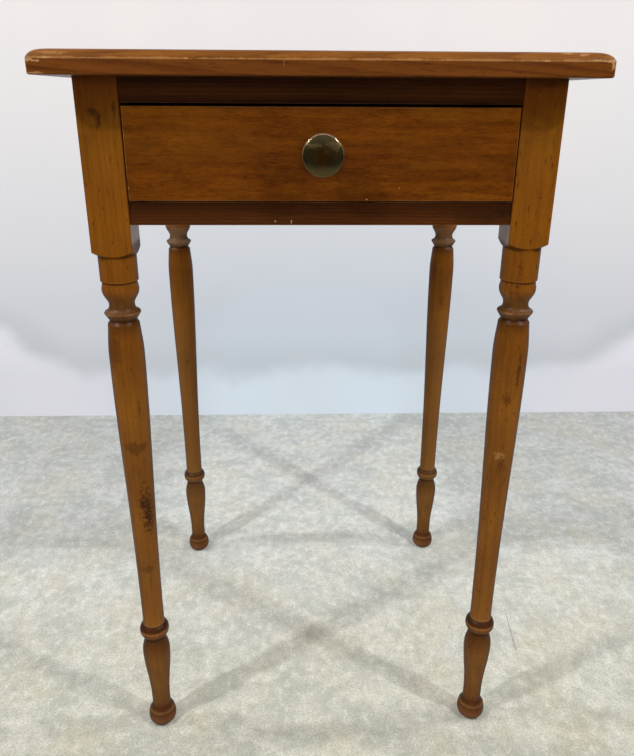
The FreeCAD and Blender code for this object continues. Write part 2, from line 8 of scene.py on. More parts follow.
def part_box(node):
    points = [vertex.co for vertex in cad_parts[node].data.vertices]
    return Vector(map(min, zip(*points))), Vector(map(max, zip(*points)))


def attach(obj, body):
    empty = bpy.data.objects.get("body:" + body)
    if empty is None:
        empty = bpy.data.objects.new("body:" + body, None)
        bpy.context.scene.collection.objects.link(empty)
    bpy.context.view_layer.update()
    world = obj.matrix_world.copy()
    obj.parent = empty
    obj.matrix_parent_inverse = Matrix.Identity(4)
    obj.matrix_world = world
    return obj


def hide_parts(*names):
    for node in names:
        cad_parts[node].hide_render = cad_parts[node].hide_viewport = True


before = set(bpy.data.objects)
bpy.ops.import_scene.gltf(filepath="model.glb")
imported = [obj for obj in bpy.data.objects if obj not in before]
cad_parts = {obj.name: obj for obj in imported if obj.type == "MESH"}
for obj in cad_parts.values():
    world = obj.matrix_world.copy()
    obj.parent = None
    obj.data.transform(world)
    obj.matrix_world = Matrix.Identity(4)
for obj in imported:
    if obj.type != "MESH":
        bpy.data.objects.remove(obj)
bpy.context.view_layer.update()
mm = 0.001


# ---- Legs -----------------------------------------------------------------------------------
# Four maple legs, each one stick: a square head that takes the rails, and below it a part
# turned by eye from one pattern. Collar, urn and ring, long shaft, bead, vase and bun foot.

leg_square = 36.0 * mm
leg_arris = 1.2 * mm
leg_head_lengths = {
    "leg_front_left": 142.7 * mm,
    "leg_front_right": 135.8 * mm,
    "leg_back_left": 139.2 * mm,
    "leg_back_right": 139.2 * mm,
}
collar_radius = 17.2 * mm
shoulder_height = 5.0 * mm
lathe_steps = 64
long_stretch = 40.0 * mm
edge_reach = 1.2 * mm
hollow_reach = 3.0 * mm
crisp_angle = math.radians(25)

# Radius and height (mm), from the floor up: the end of a straight cut, or two handles and the
# end of a curve
leg_pattern = [
    [(10.5, 0.0)],
    [(11.84, 1.27), (13.33, 2.12), (14.25, 3.55)],              # bun foot
    [(15.69, 5.78), (15.77, 9.40), (15.6, 11.5)],
    [(15.48, 13.08), (15.22, 13.80), (14.6, 17.5)],
    [(10.3, 25.0)],
    [(10.3, 39.0)],                                             # ankle
    [(10.3, 50.97), (11.5, 61.73), (12.7, 72.5)],               # vase
    [(13.9, 83.27), (15.1, 94.03), (15.1, 106.0)],
    [(15.1, 113.23), (12.63, 118.0), (11.4, 124.0)],
    [(11.4, 125.3)],
    [(12.0, 126.6)],
    [(17.33, 130.85), (17.33, 138.95), (12.0, 143.2)],          # bead
    [(11.6, 145.8)],
    [(11.6, 194.69), (12.18, 243.18), (13.3, 291.3)],           # long shaft
    [(14.62, 347.86), (16.7, 403.92), (16.7, 462.3)],
    [(16.7, 473.27), (15.3, 482.83), (14.6, 493.1)],
    [(13.87, 494.17), (13.13, 495.23), (12.4, 496.3)],
    [(16.15, 502.2)],                                           # sharp ring
    [(17.02, 502.85), (17.02, 504.15), (16.15, 504.8)],
    [(13.43, 505.68), (11.62, 508.25), (11.7, 511.1)],
    [(11.7, 514.23), (13.05, 515.86), (14.3, 517.9)],           # urn
    [(15.55, 519.94), (16.69, 522.39), (16.9, 524.7)],
    [(17.13, 527.26), (16.22, 529.65), (15.8, 532.7)],
    [(14.8, 533.4)],
    [(17.2, 534.1)],
]


def outline_points(pattern, fine, coarse):
    """Points along a turned pattern, from its middle, close enough to hold its dirt and wear."""
    points = [Vector((0, 0, 0))]
    for step in pattern:
        ends = [points[-1]] + [Vector((radius, 0, height)) * mm for radius, height in step]
        if len(ends) == 2:
            ends = [ends[0], ends[0].lerp(ends[1], 1 / 3), ends[0].lerp(ends[1], 2 / 3), ends[1]]
        length = (ends[3] - ends[0]).length
        gap = fine if length < long_stretch else coarse
        points += geometry.interpolate_bezier(*ends, max(3, round(length / gap) + 1))[1:]
    return points


def hollows_and_edges(points, reach):
    """How hollow (above zero) or how sharp (below zero) a turned outline is near each point."""
    flat = [Vector((p.x, p.z)) for p in points]
    along, turns = [0.0], [0.0]
    for before, here, after in zip(flat, flat[1:], flat[2:]):
        turns.append((here - before).angle_signed(after - here))
        along.append(along[-1] + (here - before).length)
    turns.append(0.0)
    along.append(along[-1] + (flat[-1] - flat[-2]).length)
    return [sum(turn * math.exp(-((place - other) / reach) ** 2)
                for turn, other in zip(turns, along) if abs(place - other) < 3 * reach)
            for place in along]


def turned(points, axis):
    """A closed turned solid round an upright axis, with its dirt and wear kept on its points."""
    bm = bmesh.new()
    hollow = bm.verts.layers.float.new("hollow")
    edge = bm.verts.layers.float.new("edge")
    rim = []
    for point, near, wide in zip(points, hollows_and_edges(points, edge_reach),
                                 hollows_and_edges(points, hollow_reach)):
        vert = bm.verts.new((axis.x + point.x, axis.y, point.z))
        vert[hollow] = max(0.0, wide)
        vert[edge] = max(0.0, -near)
        rim.append(vert)
    line = [bm.edges.new(pair) for pair in zip(rim, rim[1:])]
    bmesh.ops.spin(bm, geom=rim + line, cent=(axis.x, axis.y, 0), axis=(0, 0, 1), dvec=(0, 0, 0),
                   angle=2 * math.pi, steps=lathe_steps, use_merge=True, use_duplicate=False)
    bmesh.ops.remove_doubles(bm, verts=bm.verts, dist=0.001 * mm)
    bmesh.ops.recalc_face_normals(bm, faces=bm.faces)
    return bm


def sawn(bm, place, outward):
    """Takes off what lies outside a plane and closes the cut."""
    cut = bmesh.ops.bisect_plane(bm, geom=bm.verts[:] + bm.edges[:] + bm.faces[:],
                                 dist=0.001 * mm, plane_co=place, plane_no=outward,
                                 clear_outer=True)
    rim = [part for part in cut["geom_cut"] if isinstance(part, bmesh.types.BMEdge)]
    bmesh.ops.edgeloop_fill(bm, edges=rim)


def squared_head(bm, axis, shoulder):
    """Four flat faces on the turned blank, with a small round along each upright arris."""
    half = leg_square / 2
    bare_of_dirt = shoulder + 0.01 * mm
    for quarter in range(4):
        turn = Matrix.Rotation(quarter * math.pi / 2, 3, "Z")
        sawn(bm, axis + turn @ Vector((half, 0, 0)), turn @ Vector((1, 0, 0)))
    for quarter in range(4):
        for share in (0.25, 0.5, 0.75):
            angle = (quarter + share) * math.pi / 2
            outward = Vector((math.cos(angle), math.sin(angle), 0))
            reach = (half - leg_arris) * (abs(outward.x) + abs(outward.y)) + leg_arris
            sawn(bm, axis + outward * reach, outward)
    for layer in bm.verts.layers.float.values():
        for vert in bm.verts:
            if vert.co.z > bare_of_dirt:
                vert[layer] = 0.0


def piece_from(bm, name, material):
    """Makes an object of a finished shape: crisp at its arrises and smooth between them."""
    mesh = bpy.data.meshes.new(name)
    bm.to_mesh(mesh)
    bm.free()
    mesh.materials.append(material)
    mesh.shade_smooth()
    mesh.set_sharp_from_angle(angle=crisp_angle)
    piece = bpy.data.objects.new(name, mesh)
    bpy.context.scene.collection.objects.link(piece)
    shading = piece.modifiers.new("flat faces stay flat", "WEIGHTED_NORMAL")
    shading.keep_sharp = True
    return piece


def colour(red, green, blue):
    """A colour given as it looks, 0 to 255, as the shader wants it."""
    def linear(part):
        part /= 255
        return part / 12.92 if part <= 0.04045 else ((part + 0.055) / 1.055) ** 2.4
    return (linear(red), linear(green), linear(blue), 1.0)


def add(tree, kind, values=None, **settings):
    """Puts a node in a tree. Each value is a number or the output that feeds that input."""
    made = tree.nodes.new("ShaderNode" + kind)
    for name, value in settings.items():
        setattr(made, name, value)
    for name, value in (values or {}).items():
        if isinstance(value, bpy.types.NodeSocket):
            tree.links.new(value, made.inputs[name])
        else:
            made.inputs[name].default_value = value
    return made


def maths(tree, operation, first, *others):
    """Works out one number. More than two are taken from left to right."""
    if not others:
        return add(tree, "Math", {0: first}, operation=operation).outputs[0]
    for other in others:
        first = add(tree, "Math", {0: first, 1: other}, operation=operation).outputs[0]
    return first


def offset(tree, value, middle, strength):
    """How far a value is from its middle, made stronger or weaker."""
    return maths(tree, "MULTIPLY", maths(tree, "SUBTRACT", value, middle), strength)


def vector_maths(tree, operation, *values):
    """Works out one place or direction."""
    return add(tree, "VectorMath", dict(enumerate(values)), operation=operation).outputs[0]


def distance(tree, place):
    """How far a place is from the middle of the pattern."""
    return add(tree, "VectorMath", {0: place}, operation="LENGTH").outputs["Value"]


def split(tree, place):
    """A place's X, Y and Z, each by itself."""
    return add(tree, "SeparateXYZ", {0: place}).outputs


def between(tree, value, low, high, out_low=0.0, out_high=1.0):
    """Runs smoothly from one value to another as the input goes from low to high."""
    return add(tree, "MapRange", {0: value, 1: low, 2: high, 3: out_low, 4: out_high},
               interpolation_type="SMOOTHSTEP").outputs[0]


def tint(tree, share, under, over, way="MIX"):
    """Lays a share of one colour over another, or multiplies the two."""
    return add(tree, "Mix", {0: share, 6: under, 7: over}, data_type="RGBA",
               blend_type=way).outputs[2]


def noise(tree, place, scale, detail=2.0, rough=0.5):
    """An uneven pattern from 0 to 1, with this many patches to the metre."""
    return add(tree, "TexNoise", {"Vector": place, "Scale": scale, "Detail": detail,
                                  "Roughness": rough}).outputs["Fac"]


def stretched(tree, place, amounts):
    """The same place with each direction drawn out, so that a pattern is long that way."""
    return vector_maths(tree, "MULTIPLY", place, amounts)


def new_group(name, inputs, outputs):
    """An effect for several materials: a node group with these inputs and outputs."""
    group = bpy.data.node_groups.new(name, "ShaderNodeTree")
    for label, kind, usual in inputs:
        socket = group.interface.new_socket(label, in_out="INPUT", socket_type="NodeSocket" + kind)
        socket.default_value = usual
    for label, kind in outputs:
        group.interface.new_socket(label, in_out="OUTPUT", socket_type="NodeSocket" + kind)
    given = group.nodes.new("NodeGroupInput").outputs
    return group, given, group.nodes.new("NodeGroupOutput").inputs


def placed(tree, group, values):
    """Puts an effect in a material and gives what it puts out."""
    return add(tree, "Group", values, node_tree=group).outputs


def wood_grain_group():
    """Solid wood with its grain along Z: growth rings round the heart, fibres, pores, clouding."""
    group, given, result = new_group("wood grain", [
        ("Place", "Vector", (0, 0, 0)), ("Heart", "Vector", (0.05, 0.02, 0)),
        ("Ring width", "Float", 0.003), ("Rings", "Float", 0.5), ("Fibres", "Float", 0.4),
        ("Pores", "Float", 0.4), ("Clouding", "Float", 0.5), ("Wander", "Float", 0.006),
        ("Shortness", "Float", 0.03),
        ("Light", "Color", (0.3, 0.1, 0.02, 1)), ("Dark", "Color", (0.1, 0.03, 0.005, 1)),
    ], [("Colour", "Color"), ("Height", "Float")])
    place = given["Place"]
    sway = add(group, "TexNoise", {"Vector": stretched(group, place, (1, 1, 0.18)), "Scale": 14})
    sway = vector_maths(group, "SUBTRACT", sway.outputs["Color"], (0.5, 0.5, 0.5))
    sway = add(group, "VectorMath", {0: sway, "Scale": given["Wander"]}, operation="SCALE")
    grown = vector_maths(group, "ADD", place, sway.outputs[0])
    out = vector_maths(group, "SUBTRACT", grown, given["Heart"])
    out = stretched(group, out, (1, 1, 0))
    years = maths(group, "DIVIDE", distance(group, out), given["Ring width"])
    uneven = noise(group, out, 60, 1.0)
    year = maths(group, "FRACT", maths(group, "ADD", years, maths(group, "MULTIPLY", uneven, 1.5)))
    late = maths(group, "MULTIPLY", between(group, year, 0.35, 0.9),
                 between(group, year, 0.9, 1.0, 1.0, 0.0))
    drawn_out = add(group, "CombineXYZ", {0: 1.0, 1: 1.0, 2: given["Shortness"]}).outputs[0]
    along = stretched(group, grown, drawn_out)
    fibre = noise(group, along, 850, 3.0, 0.65)
    figure = noise(group, along, 190, 3.0, 0.6)
    pore = between(group, noise(group, along, 1700, 1.0), 0.62, 0.74)
    cloud = noise(group, stretched(group, place, (1, 1, 0.4)), 26, 3.0)
    share = maths(group, "ADD", 0.5, offset(group, late, 0.35, given["Rings"]),
                  offset(group, fibre, 0.5, given["Fibres"]),
                  offset(group, figure, 0.5, given["Fibres"]),
                  offset(group, cloud, 0.5, given["Clouding"]),
                  maths(group, "MULTIPLY", pore, given["Pores"]))
    share = add(group, "Clamp", {0: share, 1: 0.0, 2: 1.0}).outputs[0]
    group.links.new(tint(group, share, given["Light"], given["Dark"]), result["Colour"])
    height = maths(group, "SUBTRACT", offset(group, fibre, 0.5, 0.6), pore,
                   maths(group, "MULTIPLY", late, 0.15))
    group.links.new(height, result["Height"])
    return group


def arris_band_group():
    """Along the arrises of a sawn piece, where they are worn and where light and shade is painted
    on them: 1 on the arris, 0 away from it, ragged.
    """
    group, given, result = new_group("arris band", [
        ("Place", "Vector", (0, 0, 0)), ("Middle", "Vector", (0, 0, 0)),
        ("Half size", "Vector", (1, 1, 1)), ("Width", "Float", 0.002), ("Ragged", "Float", 1.0),
    ], [("Mask", "Float")])
    out = vector_maths(group, "SUBTRACT", given["Place"], given["Middle"])
    out = vector_maths(group, "ABSOLUTE", out)
    deep = split(group, vector_maths(group, "SUBTRACT", given["Half size"], out))
    least = maths(group, "MINIMUM", deep["X"], deep["Y"])
    most = maths(group, "MAXIMUM", deep["X"], deep["Y"])
    near = maths(group, "MAXIMUM", least, maths(group, "MINIMUM", most, deep["Z"]))
    broad = maths(group, "MULTIPLY", noise(group, given["Place"], 45), 1.2)
    fine = maths(group, "MULTIPLY", noise(group, given["Place"], 420, 3.0, 0.6), 0.9)
    rough = offset(group, maths(group, "ADD", broad, fine), 1.05, given["Ragged"])
    reach = maths(group, "MULTIPLY", given["Width"],
                  maths(group, "MAXIMUM", maths(group, "ADD", 0.6, rough), 0.02))
    mask = maths(group, "SUBTRACT", 1.0, maths(group, "DIVIDE", near, reach))
    group.links.new(between(group, mask, 0.0, 0.6), result["Mask"])
    return group


def old_mark_group():
    """A stain, burn or chip: 1 inside an oval with a broken edge, 0 outside it."""
    group, given, result = new_group("old mark", [
        ("Place", "Vector", (0, 0, 0)), ("Middle", "Vector", (0, 0, 0)),
        ("Reach", "Vector", (0.01, 0.01, 0.01)), ("Broken", "Float", 0.5),
        ("Fineness", "Float", 200.0),
    ], [("Mask", "Float")])
    out = vector_maths(group, "SUBTRACT", given["Place"], given["Middle"])
    far = distance(group, vector_maths(group, "DIVIDE", out, given["Reach"]))
    rough = noise(group, given["Place"], given["Fineness"], 3.0, 0.6)
    rough = offset(group, rough, 0.5, given["Broken"])
    far = maths(group, "ADD", far, maths(group, "MULTIPLY", rough, 2.4))
    group.links.new(between(group, far, 0.5, 1.0, 1.0, 0.0), result["Mask"])
    return group


def old_varnish_group():
    """Hand-rubbed varnish: duller and glossier patches and a slight ripple."""
    group, given, result = new_group("old varnish", [
        ("Place", "Vector", (0, 0, 0)), ("Gloss", "Float", 0.35),
    ], [("Roughness", "Float"), ("Ripple", "Float")])
    patch = noise(group, given["Place"], 38, 3.0, 0.6)
    smear = noise(group, given["Place"], 230)
    rough = maths(group, "ADD", given["Gloss"], offset(group, patch, 0.5, 0.35),
                  offset(group, smear, 0.5, 0.12))
    group.links.new(rough, result["Roughness"])
    group.links.new(maths(group, "MULTIPLY", smear, 0.3), result["Ripple"])
    return group


wood_grain = wood_grain_group()
arris_band = arris_band_group()
old_mark = old_mark_group()
old_varnish = old_varnish_group()


def new_material(name):
    """An empty material: its node tree, its place on the piece and its shader."""
    material = bpy.data.materials.new(name)
    material.use_nodes = True
    tree = material.node_tree
    shader = tree.nodes["Principled BSDF"]
    place = add(tree, "TexCoord").outputs["Object"]
    return material, tree, place, shader


def moved(tree, place, middle=(0, 0, 0), turn=(0, 0, 0)):
    """The pattern's place on this piece: centred on middle, with its grain turned along Z."""
    return add(tree, "Mapping", {"Vector": place, "Location": middle, "Rotation": turn},
               vector_type="TEXTURE").outputs[0]


def varnished(tree, shader, place, base, height, gloss=0.4, depth=0.12 * mm, side_shade_share=0.0,
              coat_aslant=0.4):
    """Sets a varnished wood's shader: colour, patchy gloss, and a bump from grain and ripple.
    Round parts get painted shade towards their sides, darker where they turn away from the eye."""
    coat = placed(tree, old_varnish, {"Place": place, "Gloss": gloss})
    aslant = add(tree, "LayerWeight", {"Blend": 0.5}).outputs["Facing"]
    # Painted shade: round parts darken towards their sides, by side_shade_share
    base = tint(tree, between(tree, aslant, 0.35, 1.0, 0.0, side_shade_share), base,
                (0.16, 0.11, 0.10, 1), "MULTIPLY")
    height = maths(tree, "ADD", height, coat["Ripple"])
    bump = add(tree, "Bump", {"Strength": 0.35, "Distance": depth, "Height": height})
    tree.links.new(base, shader.inputs["Base Color"])
    tree.links.new(coat["Roughness"], shader.inputs["Roughness"])
    tree.links.new(bump.outputs[0], shader.inputs["Normal"])
    tree.links.new(between(tree, aslant, 0.4, 0.95, 0.12, coat_aslant),
                   shader.inputs["Coat Weight"])
    shader.inputs["Specular IOR Level"].default_value = 0.04
    shader.inputs["Coat Roughness"].default_value = 0.34


def marked(tree, place, base, marks):
    """The same surface with its old marks on it. A mark is its colour, how strong it is, its
    middle and its reach each way (mm), how broken its edge is, and how fine the breaks are."""
    for mark_colour, share, middle, reach, broken, fineness in marks:
        mask = placed(tree, old_mark, {"Place": place, "Middle": [m * mm for m in middle],
                                       "Reach": [r * mm for r in reach], "Broken": broken,
                                       "Fineness": fineness})["Mask"]
        base = tint(tree, maths(tree, "MULTIPLY", mask, share), base, mark_colour)
    return base


def rubbed(tree, place, base, pale, share, middle, half, width, ragged):
    """The same wood with its arrises turned another colour: rubbed down on most pieces, with a
    painted dark line of shade on the legs' heads and a painted highlight on the drawer front.
    """
    mask = placed(tree, arris_band, {"Place": place, "Middle": middle, "Half size": half,
                                     "Width": width, "Ragged": ragged})["Mask"]
    return tint(tree, maths(tree, "MULTIPLY", mask, share), base, pale)


def bands(tree, level, stops):
    """A colour that changes with height. Each stop is a height (mm) and the colour there."""
    highest = stops[-1][0]
    ramp = add(tree, "ValToRGB", {0: maths(tree, "DIVIDE", level, highest * mm)})
    elements = ramp.color_ramp.elements
    elements[0].color = (*stops[0][1], 1)
    elements[1].color = (*stops[-1][1], 1)
    for height, shade in stops[1:-1]:
        elements.new(height / highest).color = (*shade, 1)
    return ramp.outputs[0]


# Height (mm), and what the leg's red, green and blue are multiplied by there: the finish's bands,
# with painted highlights and shade among them where marked
leg_low_bands = [
    # foot: the pale stops at 18.6 to 19.6 are a painted highlight along its arris
    (0.0, (0.30, 0.32, 0.8)), (1.6, (0.50, 0.56, 1.4)), (4.0, (0.80, 0.92, 2.2)),
    (8.0, (0.94, 1.00, 2.2)), (13.0, (0.76, 0.76, 1.5)), (17.4, (0.44, 0.42, 0.8)),
    (18.6, (0.86, 1.04, 2.3)), (19.6, (0.86, 1.04, 2.3)), (21.4, (0.42, 0.38, 0.7)),
    # ankle and vase
    (24.5, (0.38, 0.34, 0.6)), (27.5, (0.54, 0.52, 0.8)), (33.0, (0.70, 0.72, 1.05)),
    (60.0, (0.84, 0.90, 1.15)), (98.0, (0.80, 0.82, 1.05)), (112.0, (0.52, 0.48, 0.62)),
    # bead: the pale stops at 135.8 to 136.8 and 144.8 to 145.8 are painted highlights; the dark
    # stops from 137.8 to 143.0 darken its upper part
    (126.0, (0.27, 0.23, 0.34)), (129.5, (0.80, 0.84, 1.5)), (134.8, (0.58, 0.54, 0.88)),
    (135.8, (1.05, 1.10, 2.0)), (136.8, (1.05, 1.10, 2.0)), (137.8, (0.42, 0.38, 0.62)),
    (139.5, (0.24, 0.20, 0.32)), (143.0, (0.20, 0.17, 0.26)), (144.0, (0.50, 0.46, 0.8)),
    (144.8, (1.2, 1.35, 2.4)), (145.8, (1.2, 1.35, 2.4)),
    (147.2, (1.0, 1.0, 1.0)), (150.0, (1.0, 1.0, 1.0)),
]
leg_high_bands = [
    # below the shaft, and the shaft
    (0.0, (0.95, 1.04, 1.70)), (150.0, (0.96, 1.08, 1.86)), (440.0, (0.97, 1.02, 1.10)),
    (482.0, (0.86, 0.86, 0.88)), (496.5, (0.36, 0.34, 0.55)),
    # ring and urn: the ring's pale grey-blue stops, 502.5 to 505.5, are partly dust and partly a
    # painted sheen
    (502.5, (0.64, 0.86, 3.2)), (505.5, (0.62, 0.80, 2.8)), (510.0, (0.60, 0.68, 1.7)),
    (524.0, (0.92, 0.93, 1.1)), (534.0, (0.92, 0.90, 0.80)), (556.0, (0.97, 0.95, 0.70)),
    # square head: darker towards the top, painted shade under the tabletop's overhang, with a
    # painted dip at 662 and lift at 667.5 that soften the lamps' shadow edge
    (590.0, (1.01, 1.00, 0.60)), (604.0, (0.92, 0.88, 0.58)), (636.0, (0.84, 0.83, 0.60)),
    (655.0, (0.79, 0.79, 0.50)), (662.0, (0.71, 0.71, 0.46)), (667.5, (0.87, 0.88, 0.52)),
    (674.0, (0.72, 0.69, 0.36)), (684.0, (0.58, 0.50, 0.25)), (694.0, (0.50, 0.40, 0.18)),
    (705.3, (0.34, 0.23, 0.12)),
]
# The head, whose upright arrises get a painted dark line of shade, the heights over which its
# finish takes over from the turned part's, and those over which the bands' edges grow ragged, and
# how far they then stray
head_arris_middle = Vector((0, 0, 633.5)) * mm
head_arris_half = Vector((18.0, 18.0, 71.8)) * mm
head_takes_over = (566.0 * mm, 572.0 * mm)
bands_turn_ragged = (560.0 * mm, 660.0 * mm)
bands_stray = (1.0 * mm, 30.0 * mm)


def leg_finish(name, axis, heart, flecks, marks):
    """Amber varnish over maple: banded with height, with painted highlights and shade among the
    bands, flecked, and dark in the turned hollows.
    """
    material, tree, place, shader = new_material(name)
    stick = moved(tree, place, (axis.x, axis.y, 0))
    wood = placed(tree, wood_grain, {
        "Place": stick, "Heart": heart, "Ring width": 5.0 * mm, "Rings": 0.12, "Fibres": 0.45,
        "Pores": 0.3, "Clouding": 1.2, "Shortness": 0.06,
        "Light": colour(132, 80, 18), "Dark": colour(86, 46, 10)})
    height = split(tree, place)["Z"]
    ragged = noise(tree, stick, 60, 3.0)
    level = maths(tree, "ADD", height, offset(
        tree, ragged, 0.5, between(tree, height, *bands_turn_ragged, *bands_stray)))
    base = tint(tree, 1.0, wood["Colour"], bands(tree, level, leg_low_bands), "MULTIPLY")
    base = tint(tree, 1.0, base, bands(tree, level, leg_high_bands), "MULTIPLY")
    fleck = noise(tree, stretched(tree, stick, (1, 1, 0.3)), 400)
    base = tint(tree, between(tree, fleck, flecks, flecks + 0.06, 0.0, 0.6), base,
                colour(52, 22, 6))
    base = marked(tree, place, base, marks)
    hollow = add(tree, "Attribute", attribute_name="hollow").outputs["Fac"]
    edge = add(tree, "Attribute", attribute_name="edge").outputs["Fac"]
    grime = noise(tree, stick, 90, 3.0, 0.6)
    dirt = maths(tree, "MULTIPLY", between(tree, hollow, 0.3, 1.3),
                 between(tree, grime, 0.2, 0.6), 0.75)
    base = tint(tree, dirt, base, colour(24, 11, 4))
    bared = maths(tree, "MULTIPLY", between(tree, edge, 0.5, 1.3),
                  between(tree, grime, 0.35, 0.6), 0.3)
    base = tint(tree, bared, base, colour(150, 108, 66))
    on_head = between(tree, height, *head_takes_over)
    # Painted shade: a dark line along the head's upright arrises, not wear
    base = rubbed(tree, stick, base, colour(70, 36, 10), maths(tree, "MULTIPLY", on_head, 0.5),
                  head_arris_middle, head_arris_half, width=1.3 * mm, ragged=0.8)
    # The turned part gets painted shade towards its sides, the square head very little
    varnished(tree, shader, stick, base, wood["Height"],
              side_shade_share=maths(tree, "SUBTRACT", 0.8, maths(tree, "MULTIPLY", on_head, 0.7)),
              coat_aslant=maths(tree, "ADD", 0.12, maths(tree, "MULTIPLY", on_head, 0.88)))
    return material


dark, black = colour(44, 20, 6), colour(16, 8, 4)
leg_marks = {
    "leg_front_left": [
        (dark, 0.55, (-188.3, -190, 678.5), (4.6, 6, 3.6), 0.8, 330.0),
        (dark, 0.5, (-184.6, -190, 672.0), (3.0, 6, 9.0), 0.8, 260.0),
        (black, 0.85, (-183.7, -190, 672.5), (0.55, 3, 7.5), 0.5, 300.0),
        (black, 0.7, (-187.6, -190, 677.5), (0.5, 3, 4.5), 0.5, 300.0),
        (black, 0.6, (-190.3, -190, 679.0), (0.45, 3, 3.0), 0.5, 300.0),
        (black, 0.5, (-189.2, -190, 660.5), (0.4, 3, 5.0), 0.6, 300.0),
        (dark, 0.6, (-170.6, -190, 680.5), (1.8, 5, 9), 0.7, 260.0),
        (black, 0.5, (-189.4, -190, 616), (0.7, 3, 2.4), 0.5, 400.0),
        (black, 0.4, (-188.0, -190, 589), (0.6, 3, 2.6), 0.5, 400.0),
        (dark, 0.7, (-177.0, -187, 296), (6.5, 9, 34), 1.3, 300.0),
        (black, 0.65, (-174.5, -186, 288), (4.5, 9, 30), 1.6, 420.0),
        (black, 0.5, (-180.5, -187, 303), (3.4, 8, 6), 1.1, 420.0),
        (dark, 0.4, (-179.0, -187, 368), (16, 12, 7), 1.0, 130.0),
        (dark, 0.35, (-179.3, -187, 222), (14, 12, 6), 1.0, 130.0),
        (dark, 0.4, (-192.0, -186, 470), (8, 12, 22), 1.0, 130.0),
        (dark, 0.45, (-174.5, -186, 410), (1.2, 8, 12), 1.3, 420.0),
    ],
    "leg_front_right": [
        (black, 0.55, (189.4, -190, 610), (1.0, 4, 1.2), 0.4, 600.0),
        (black, 0.5, (198.3, -190, 615), (0.8, 4, 0.9), 0.4, 600.0),
        (black, 0.4, (180.8, -190, 586), (0.8, 4, 1.2), 0.4, 600.0),
        (black, 0.6, (178.5, -189, 549), (0.9, 4, 1.2), 0.4, 700.0),
        (black, 0.5, (180.0, -189, 542), (1.4, 4, 0.9), 0.4, 700.0),
        (dark, 0.6, (179.0, -188, 530), (1.6, 4, 2.0), 0.6, 500.0),
        (dark, 0.5, (174.0, -188, 519), (1.6, 4, 2.0), 0.6, 500.0),
        (black, 0.4, (184, -190, 704), (24, 6, 8), 0.6, 120.0),
        (dark, 0.55, (189.5, -186, 447), (2.6, 8, 24), 1.1, 300.0),
        (dark, 0.5, (181.0, -187, 418), (5, 8, 7), 1.7, 520.0),
        (colour(160, 112, 66), 0.5, (180.0, -187, 356), (5, 8, 5), 1.7, 520.0),
        (dark, 0.35, (182.0, -187, 345), (4, 8, 10), 1.2, 300.0),
    ],
    "leg_back_left": [
        (colour(116, 94, 72), 0.5, (-184.2, 156, 512), (30, 30, 18), 0.4, 120.0),
        (colour(120, 88, 50), 0.22, (-184.2, 156, 240), (40, 40, 200), 0.4, 60.0),
        (dark, 0.14, (-184.2, 156, 440), (40, 40, 50), 0.8, 60.0),
        (dark, 0.4, (-182.0, 155, 330), (5, 6, 9), 0.8, 220.0),
    ],
    "leg_back_right": [
        (colour(108, 84, 62), 0.4, (184.2, 156, 512), (30, 30, 18), 0.4, 120.0),
        (colour(120, 88, 50), 0.22, (184.2, 156, 240), (40, 40, 200), 0.4, 60.0),
        (dark, 0.2, (184.2, 156, 440), (40, 40, 50), 0.8, 60.0),
        (dark, 0.35, (184.0, 155, 420), (4, 6, 12), 0.8, 220.0),
    ],
}
leg_flecks = {"leg_front_left": 0.68, "leg_front_right": 0.64, "leg_back_left": 0.68,
              "leg_back_right": 0.66}
leg_hearts = {
    "leg_front_left": (0.031, -0.022, 0),
    "leg_front_right": (-0.026, 0.035, 0),
    "leg_back_left": (0.024, 0.030, 0),
    "leg_back_right": (-0.033, -0.027, 0),
}

# The shoulder under a head slopes up past the head's corners, whose radius is half a diagonal
corner_radius = math.hypot(leg_square / 2, leg_square / 2)
shoulder_slope = shoulder_height / (corner_radius - collar_radius)
past_corner = 1.0 * mm

for leg_name, head_length in leg_head_lengths.items():
    low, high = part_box(leg_name)
    leg_axis = Vector(((low.x + high.x) / 2, (low.y + high.y) / 2, 0))
    head_low = high.z - head_length
    leg_outline = outline_points(leg_pattern + [
        [(collar_radius / mm, (head_low - shoulder_height) / mm)],
        [((corner_radius + past_corner) / mm, (head_low + past_corner * shoulder_slope) / mm)],
    ], fine=1.2 * mm, coarse=5.0 * mm)
    leg_outline += [Vector((leg_outline[-1].x, 0, high.z)), Vector((0, 0, high.z))]
    leg_shape = turned(leg_outline, leg_axis)
    squared_head(leg_shape, leg_axis, head_low - shoulder_height)
    leg = piece_from(leg_shape, leg_name + "_turned",
                     leg_finish("amber maple " + leg_name, leg_axis, leg_hearts[leg_name],
                                leg_flecks[leg_name], leg_marks[leg_name]))
    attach(leg, "table")
    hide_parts(leg_name)


# ---- Aprons and front rails -----------------------------------------------------------------
# Three aprons and two rails of a plainer, darker wood, planed and tenoned into the legs. The
# front rails are stained nearly black-brown and stand a little behind the legs' faces.

eased_arris = 0.5 * mm
along_x = (0, math.pi / 2, 0)
along_y = (math.pi / 2, 0, 0)


def planed_copy(node_name, arris):
    """The sawn piece as it stands, with its faces merged and its outer arrises eased."""
    bm = bmesh.new()
    bm.from_mesh(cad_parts[node_name].data)
    bmesh.ops.remove_doubles(bm, verts=bm.verts, dist=0.005 * mm)
    bmesh.ops.dissolve_limit(bm, angle_limit=math.radians(1), verts=bm.verts, edges=bm.edges)
    outer = [edge for edge in bm.edges if edge.is_manifold and edge.is_convex
             and edge.calc_face_angle() > math.radians(60)]
    bmesh.ops.bevel(bm, geom=outer, offset=arris, offset_type="OFFSET", segments=2,
                    profile=0.5, affect="EDGES", clamp_overlap=True, material=-1)
    return bm


def middle_and_half(low, high):
    """The middle of a box, and half its size each way."""
    return (low + high) / 2, (high - low) / 2


